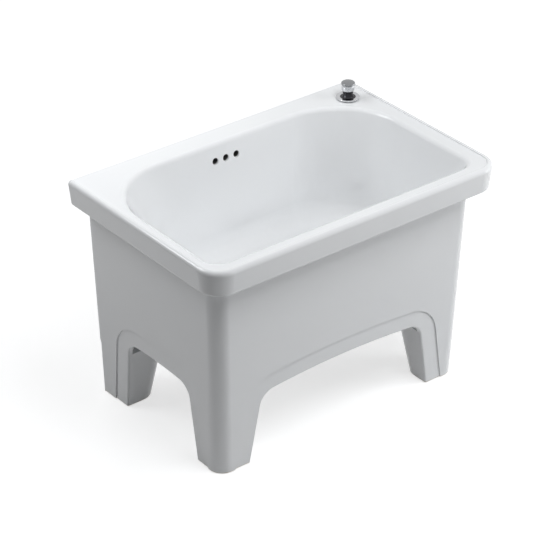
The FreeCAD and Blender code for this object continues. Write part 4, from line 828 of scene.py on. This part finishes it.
class MOPSINK_OT_stopper(bpy.types.Operator):
    """Turn the stopper's domed cap and its seal"""
    bl_idname = "mopsink.stopper"
    bl_label = "Stopper"

    def execute(self, context):
        axis = middle_of("stopper_cap")
        base, top = ends_of("stopper_cap")
        cap = turn_outline("domed_cap", in_metres([
            (0, base), (22.2, base), (23.1, base + 0.3), (23.5, base + 1.1), (23.5, base + 2.2),
            (23.0, base + 3.2), (21.4, top - 3.6), (18.6, top - 2.3), (14.6, top - 1.25), (10, top - 0.55),
            (5, top - 0.13), (0, top)]), axis, rounding=0.0005, steps=96)
        stand_for(cap, "stopper_cap", "stopper")

        base, top = ends_of("stopper_seal")
        seal = turn_outline("lipped_seal", in_metres([
            (12.02, base), (20.2, base), (21.6, base + 0.4), (22.0, base + 1.1), (21.8, top - 0.4),
            (20.9, top), (12.02, top), (12.02, base)]), axis)
        stand_for(seal, "stopper_seal", "stopper")
        return {"FINISHED"}


class MOPSINK_OT_nuts(bpy.types.Operator):
    """Cut the hexagon nuts and the grooved cap nut of the side port"""
    bl_idname = "mopsink.nuts"
    bl_label = "Nuts"

    def execute(self, context):
        sizes = context.scene.mopsink_fittings
        lock = hexagon_piece("chamfered_lock_nut", "lock_nut", sizes.lock_flats, in_metres([
            (22.1, 0.8), (22.9, 0), (31.2, 0), (35.9, 2.6), (35.9, 9.4), (31.2, 12), (22.9, 12),
            (22.1, 11.2), (22.1, 0.8)]))
        stand_for(lock, "lock_nut", "sink")
        slip = hexagon_piece("chamfered_slip_nut", "slip_nut", sizes.slip_flats, in_metres([
            (16.1, 0), (23.4, 0), (24.6, 0.5), (28.0, 2.4), (28.0, 13.2), (25.0, 15), (20.9, 15),
            (20.2, 14.3), (20.2, 4), (16.1, 4), (16.1, 0)]))
        stand_for(slip, "slip_nut", "sink")
        small = hexagon_piece("chamfered_sleeve_nut", "sleeve_nut", sizes.sleeve_flats, in_metres([
            (5.6, 0.4), (6.0, 0), (8.4, 0), (9.9, 0.9), (9.9, 5.1), (8.4, 6), (6.0, 6), (5.6, 5.6),
            (5.6, 0.4)]))
        stand_for(small, "sleeve_nut", "sink")

        cap = turn_outline("grooved_cap_nut", in_metres([
            (11.3, 0.5), (11.8, 0), (14.2, 0), (14.8, 0.7), (14.8, 12.4), (14.2, 13.6), (13.2, 14.5),
            (6.6, 14.7), (6.0, 14.2), (6.0, 11.2), (11.3, 11.2), (11.3, 0.5)]), steps=60)
        groove_grip(cap, reach=0.0143, low=0.0012, high=0.012, count=60, depth=sizes.grip_depth)
        lay_along(cap, lever_frame(CAP_NUT_REACH))
        stand_for(cap, "pivot_nut", "sink")
        return {"FINISHED"}


class MOPSINK_OT_linkage(bpy.types.Operator):
    """Shape the threaded sleeve and the thumb screw, and round the edges of the other fittings"""
    bl_idname = "mopsink.linkage"
    bl_label = "Sleeve and Linkage"

    def execute(self, context):
        sizes = context.scene.mopsink_fittings
        base, top = ends_of("guide_sleeve")
        pitch = sizes.thread_pitch * 1000
        thread = [(radius, base + (turn + share) * pitch)
                  for turn in range(round(THREAD_LENGTH / pitch)) for radius, share in THREAD_FORM]
        sleeve = turn_outline("threaded_sleeve", in_metres([
            (5.1, base), *thread, (5.5, base + 20.4), (5.5, top), (4.02, top), (4.02, base), (5.1, base)]),
            middle_of("guide_sleeve"), rounding=0.00006, steps=48)
        stand_for(sleeve, "guide_sleeve", "sink")

        screw = turn_outline("knurled_screw", in_metres([
            (0, 0), (4.6, 0), (5.4, 0.3), (6.0, 1.0), (6.0, 5.0), (5.4, 5.7), (4.6, 6), (2, 6.0), (2, 9.4),
            (1.5, 9.48), (0, 9.5)]), rounding=0.0002, steps=48)
        groove_grip(screw, reach=0.0056, low=0.0008, high=0.0052, count=48, depth=sizes.knurl_depth)
        middle = middle_of("strap_screw")
        waste = lever_frame(0)
        place = lever_frame((middle - waste.translation).dot(waste.col[2].xyz) - SCREW_LENGTH / 2)
        place.translation.z = middle.z
        lay_along(screw, place)
        stand_for(screw, "strap_screw", "lift")

        for node, body, width in ROUNDED_FITTINGS:
            stand_for(soften_copy(f"{node}_rounded", node, width), node, body)
        return {"FINISHED"}


class MOPSINK_OT_finishes(bpy.types.Operator):
    """Finish the solid-model pieces other than the china"""
    bl_idname = "mopsink.finishes"
    bl_label = "Other Finishes"

    def execute(self, context):
        for node, slot in SLOTS.items():
            if slot != "china":
                dress(node, finish(slot))
        return {"FINISHED"}


class MOPSINK_OT_stage(bpy.types.Operator):
    """Set the floor, the lamps and the camera"""
    bl_idname = "mopsink.stage"
    bl_label = "Stage"

    def execute(self, context):
        settings = context.scene.mopsink_stage
        bpy.ops.object.select_all(action="DESELECT")
        bpy.ops.mesh.primitive_plane_add(size=FLOOR_WIDTH, location=(0, 0, -FLOOR_DROP))
        floor = context.object
        floor.name = "floor"
        floor.data.materials.append(self.floor_paint(settings))
        self.light_room(context.scene, settings.ambient)
        for name, place, aim, size, power, mirrored in LAMPS:
            add_lamp(name, place, aim, size, getattr(settings, power), mirrored)
        self.place_camera(context.scene, settings)
        return {"FINISHED"}

    @staticmethod
    def floor_paint(settings):
        """White floor that keeps a soft shadow and fades into the background."""
        material, tree, shader = new_material("floor_paint")
        shader.inputs["Base Color"].default_value = (*[settings.floor_tone] * 3, 1)
        shader.inputs["Roughness"].default_value = 0.9
        shader.inputs["Specular IOR Level"].default_value = 0
        glow = add_node(tree, "ShaderNodeEmission", 300, -300)
        place = add_node(tree, "ShaderNodeTexCoord", -900, -600).outputs["Object"]
        reach = add_node(tree, "ShaderNodeVectorMath", -700, -600, operation="LENGTH")
        tree.links.new(place, reach.inputs[0])
        level = map_range(tree, -450, -600, reach.outputs["Value"], *GLOW_REACH, settings.floor_glow, 1.0)
        tree.links.new(math_node(tree, "MULTIPLY", 100, -300, background_rays(tree, -600, -300), level),
                       glow.inputs["Strength"])
        both = add_node(tree, "ShaderNodeAddShader", 750, -150)
        tree.links.new(shader.outputs["BSDF"], both.inputs[0])
        tree.links.new(glow.outputs["Emission"], both.inputs[1])
        output = [node for node in tree.nodes if node.type == "OUTPUT_MATERIAL"][0]
        tree.links.new(both.outputs["Shader"], output.inputs["Surface"])
        return material

    @staticmethod
    def light_room(scene, ambient):
        """A dim even room whose walls show as white."""
        world = bpy.data.worlds.new("studio")
        world.use_nodes = True
        scene.world = world
        tree = world.node_tree
        tree.nodes.clear()
        backdrop = add_node(tree, "ShaderNodeBackground", 300, 0)
        strength = map_range(tree, 100, 0, background_rays(tree, -600, 0), 0, 1, ambient, 1)
        tree.links.new(strength, backdrop.inputs["Strength"])
        output = add_node(tree, "ShaderNodeOutputWorld", 600, 0)
        tree.links.new(backdrop.outputs["Background"], output.inputs["Surface"])
        scene.view_settings.view_transform = "Standard"

    @staticmethod
    def place_camera(scene, settings):
        """A camera that looks at the sink from the set direction and distance."""
        right, up, back = view_axes(settings.azimuth, settings.elevation)
        rim_middle = Vector((0, 0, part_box("sink_body")[1].z))
        aim = rim_middle + right * settings.aim_right + up * settings.aim_up
        bpy.ops.object.camera_add()
        camera = bpy.context.object
        camera.name = "camera"
        camera.data.lens = settings.lens
        camera.data.sensor_width = SENSOR_WIDTH
        turn = Matrix((right, up, back)).transposed().to_4x4()
        camera.matrix_world = Matrix.Translation(aim + back * settings.distance) @ turn
        scene.camera = camera


class MOPSINK_PT_panel(bpy.types.Panel):
    """Pieces of the mop sink, in building order"""
    bl_idname = "MOPSINK_PT_panel"
    bl_label = "Mop Sink"
    bl_space_type = "VIEW_3D"
    bl_region_type = "UI"
    bl_category = "Mop Sink"

    def draw(self, context):
        for operator in OPERATORS:
            self.layout.operator(operator.bl_idname)
        for name in SETTINGS:
            group = getattr(context.scene, name)
            box = self.layout.box()
            for entry in group.bl_rna.properties:
                if not entry.is_readonly and entry.identifier != "name":
                    box.prop(group, entry.identifier)


SETTINGS = {
    "mopsink_glaze": GlazeSettings,
    "mopsink_metal": MetalSettings,
    "mopsink_plastic": PlasticSettings,
    "mopsink_fittings": FittingSettings,
    "mopsink_stage": StageSettings,
}
OPERATORS = (MOPSINK_OT_casting, MOPSINK_OT_knob, MOPSINK_OT_stopper, MOPSINK_OT_nuts, MOPSINK_OT_linkage,
             MOPSINK_OT_finishes, MOPSINK_OT_stage)
CLASSES = (*SETTINGS.values(), *OPERATORS, MOPSINK_PT_panel)


def register():
    """Registers the classes and gives the scene its settings."""
    for entry in CLASSES:
        bpy.utils.register_class(entry)
    for name, group in SETTINGS.items():
        setattr(bpy.types.Scene, name, PointerProperty(type=group))


def unregister():
    """Takes the settings and the classes away again."""
    for name in SETTINGS:
        delattr(bpy.types.Scene, name)
    for entry in reversed(CLASSES):
        bpy.utils.unregister_class(entry)


def main():
    """Builds and dresses everything."""
    register()
    bpy.ops.mopsink.casting()
    bpy.ops.mopsink.knob()
    bpy.ops.mopsink.stopper()
    bpy.ops.mopsink.nuts()
    bpy.ops.mopsink.linkage()
    bpy.ops.mopsink.finishes()
    bpy.ops.mopsink.stage()


if __name__ == "__main__":
    main()
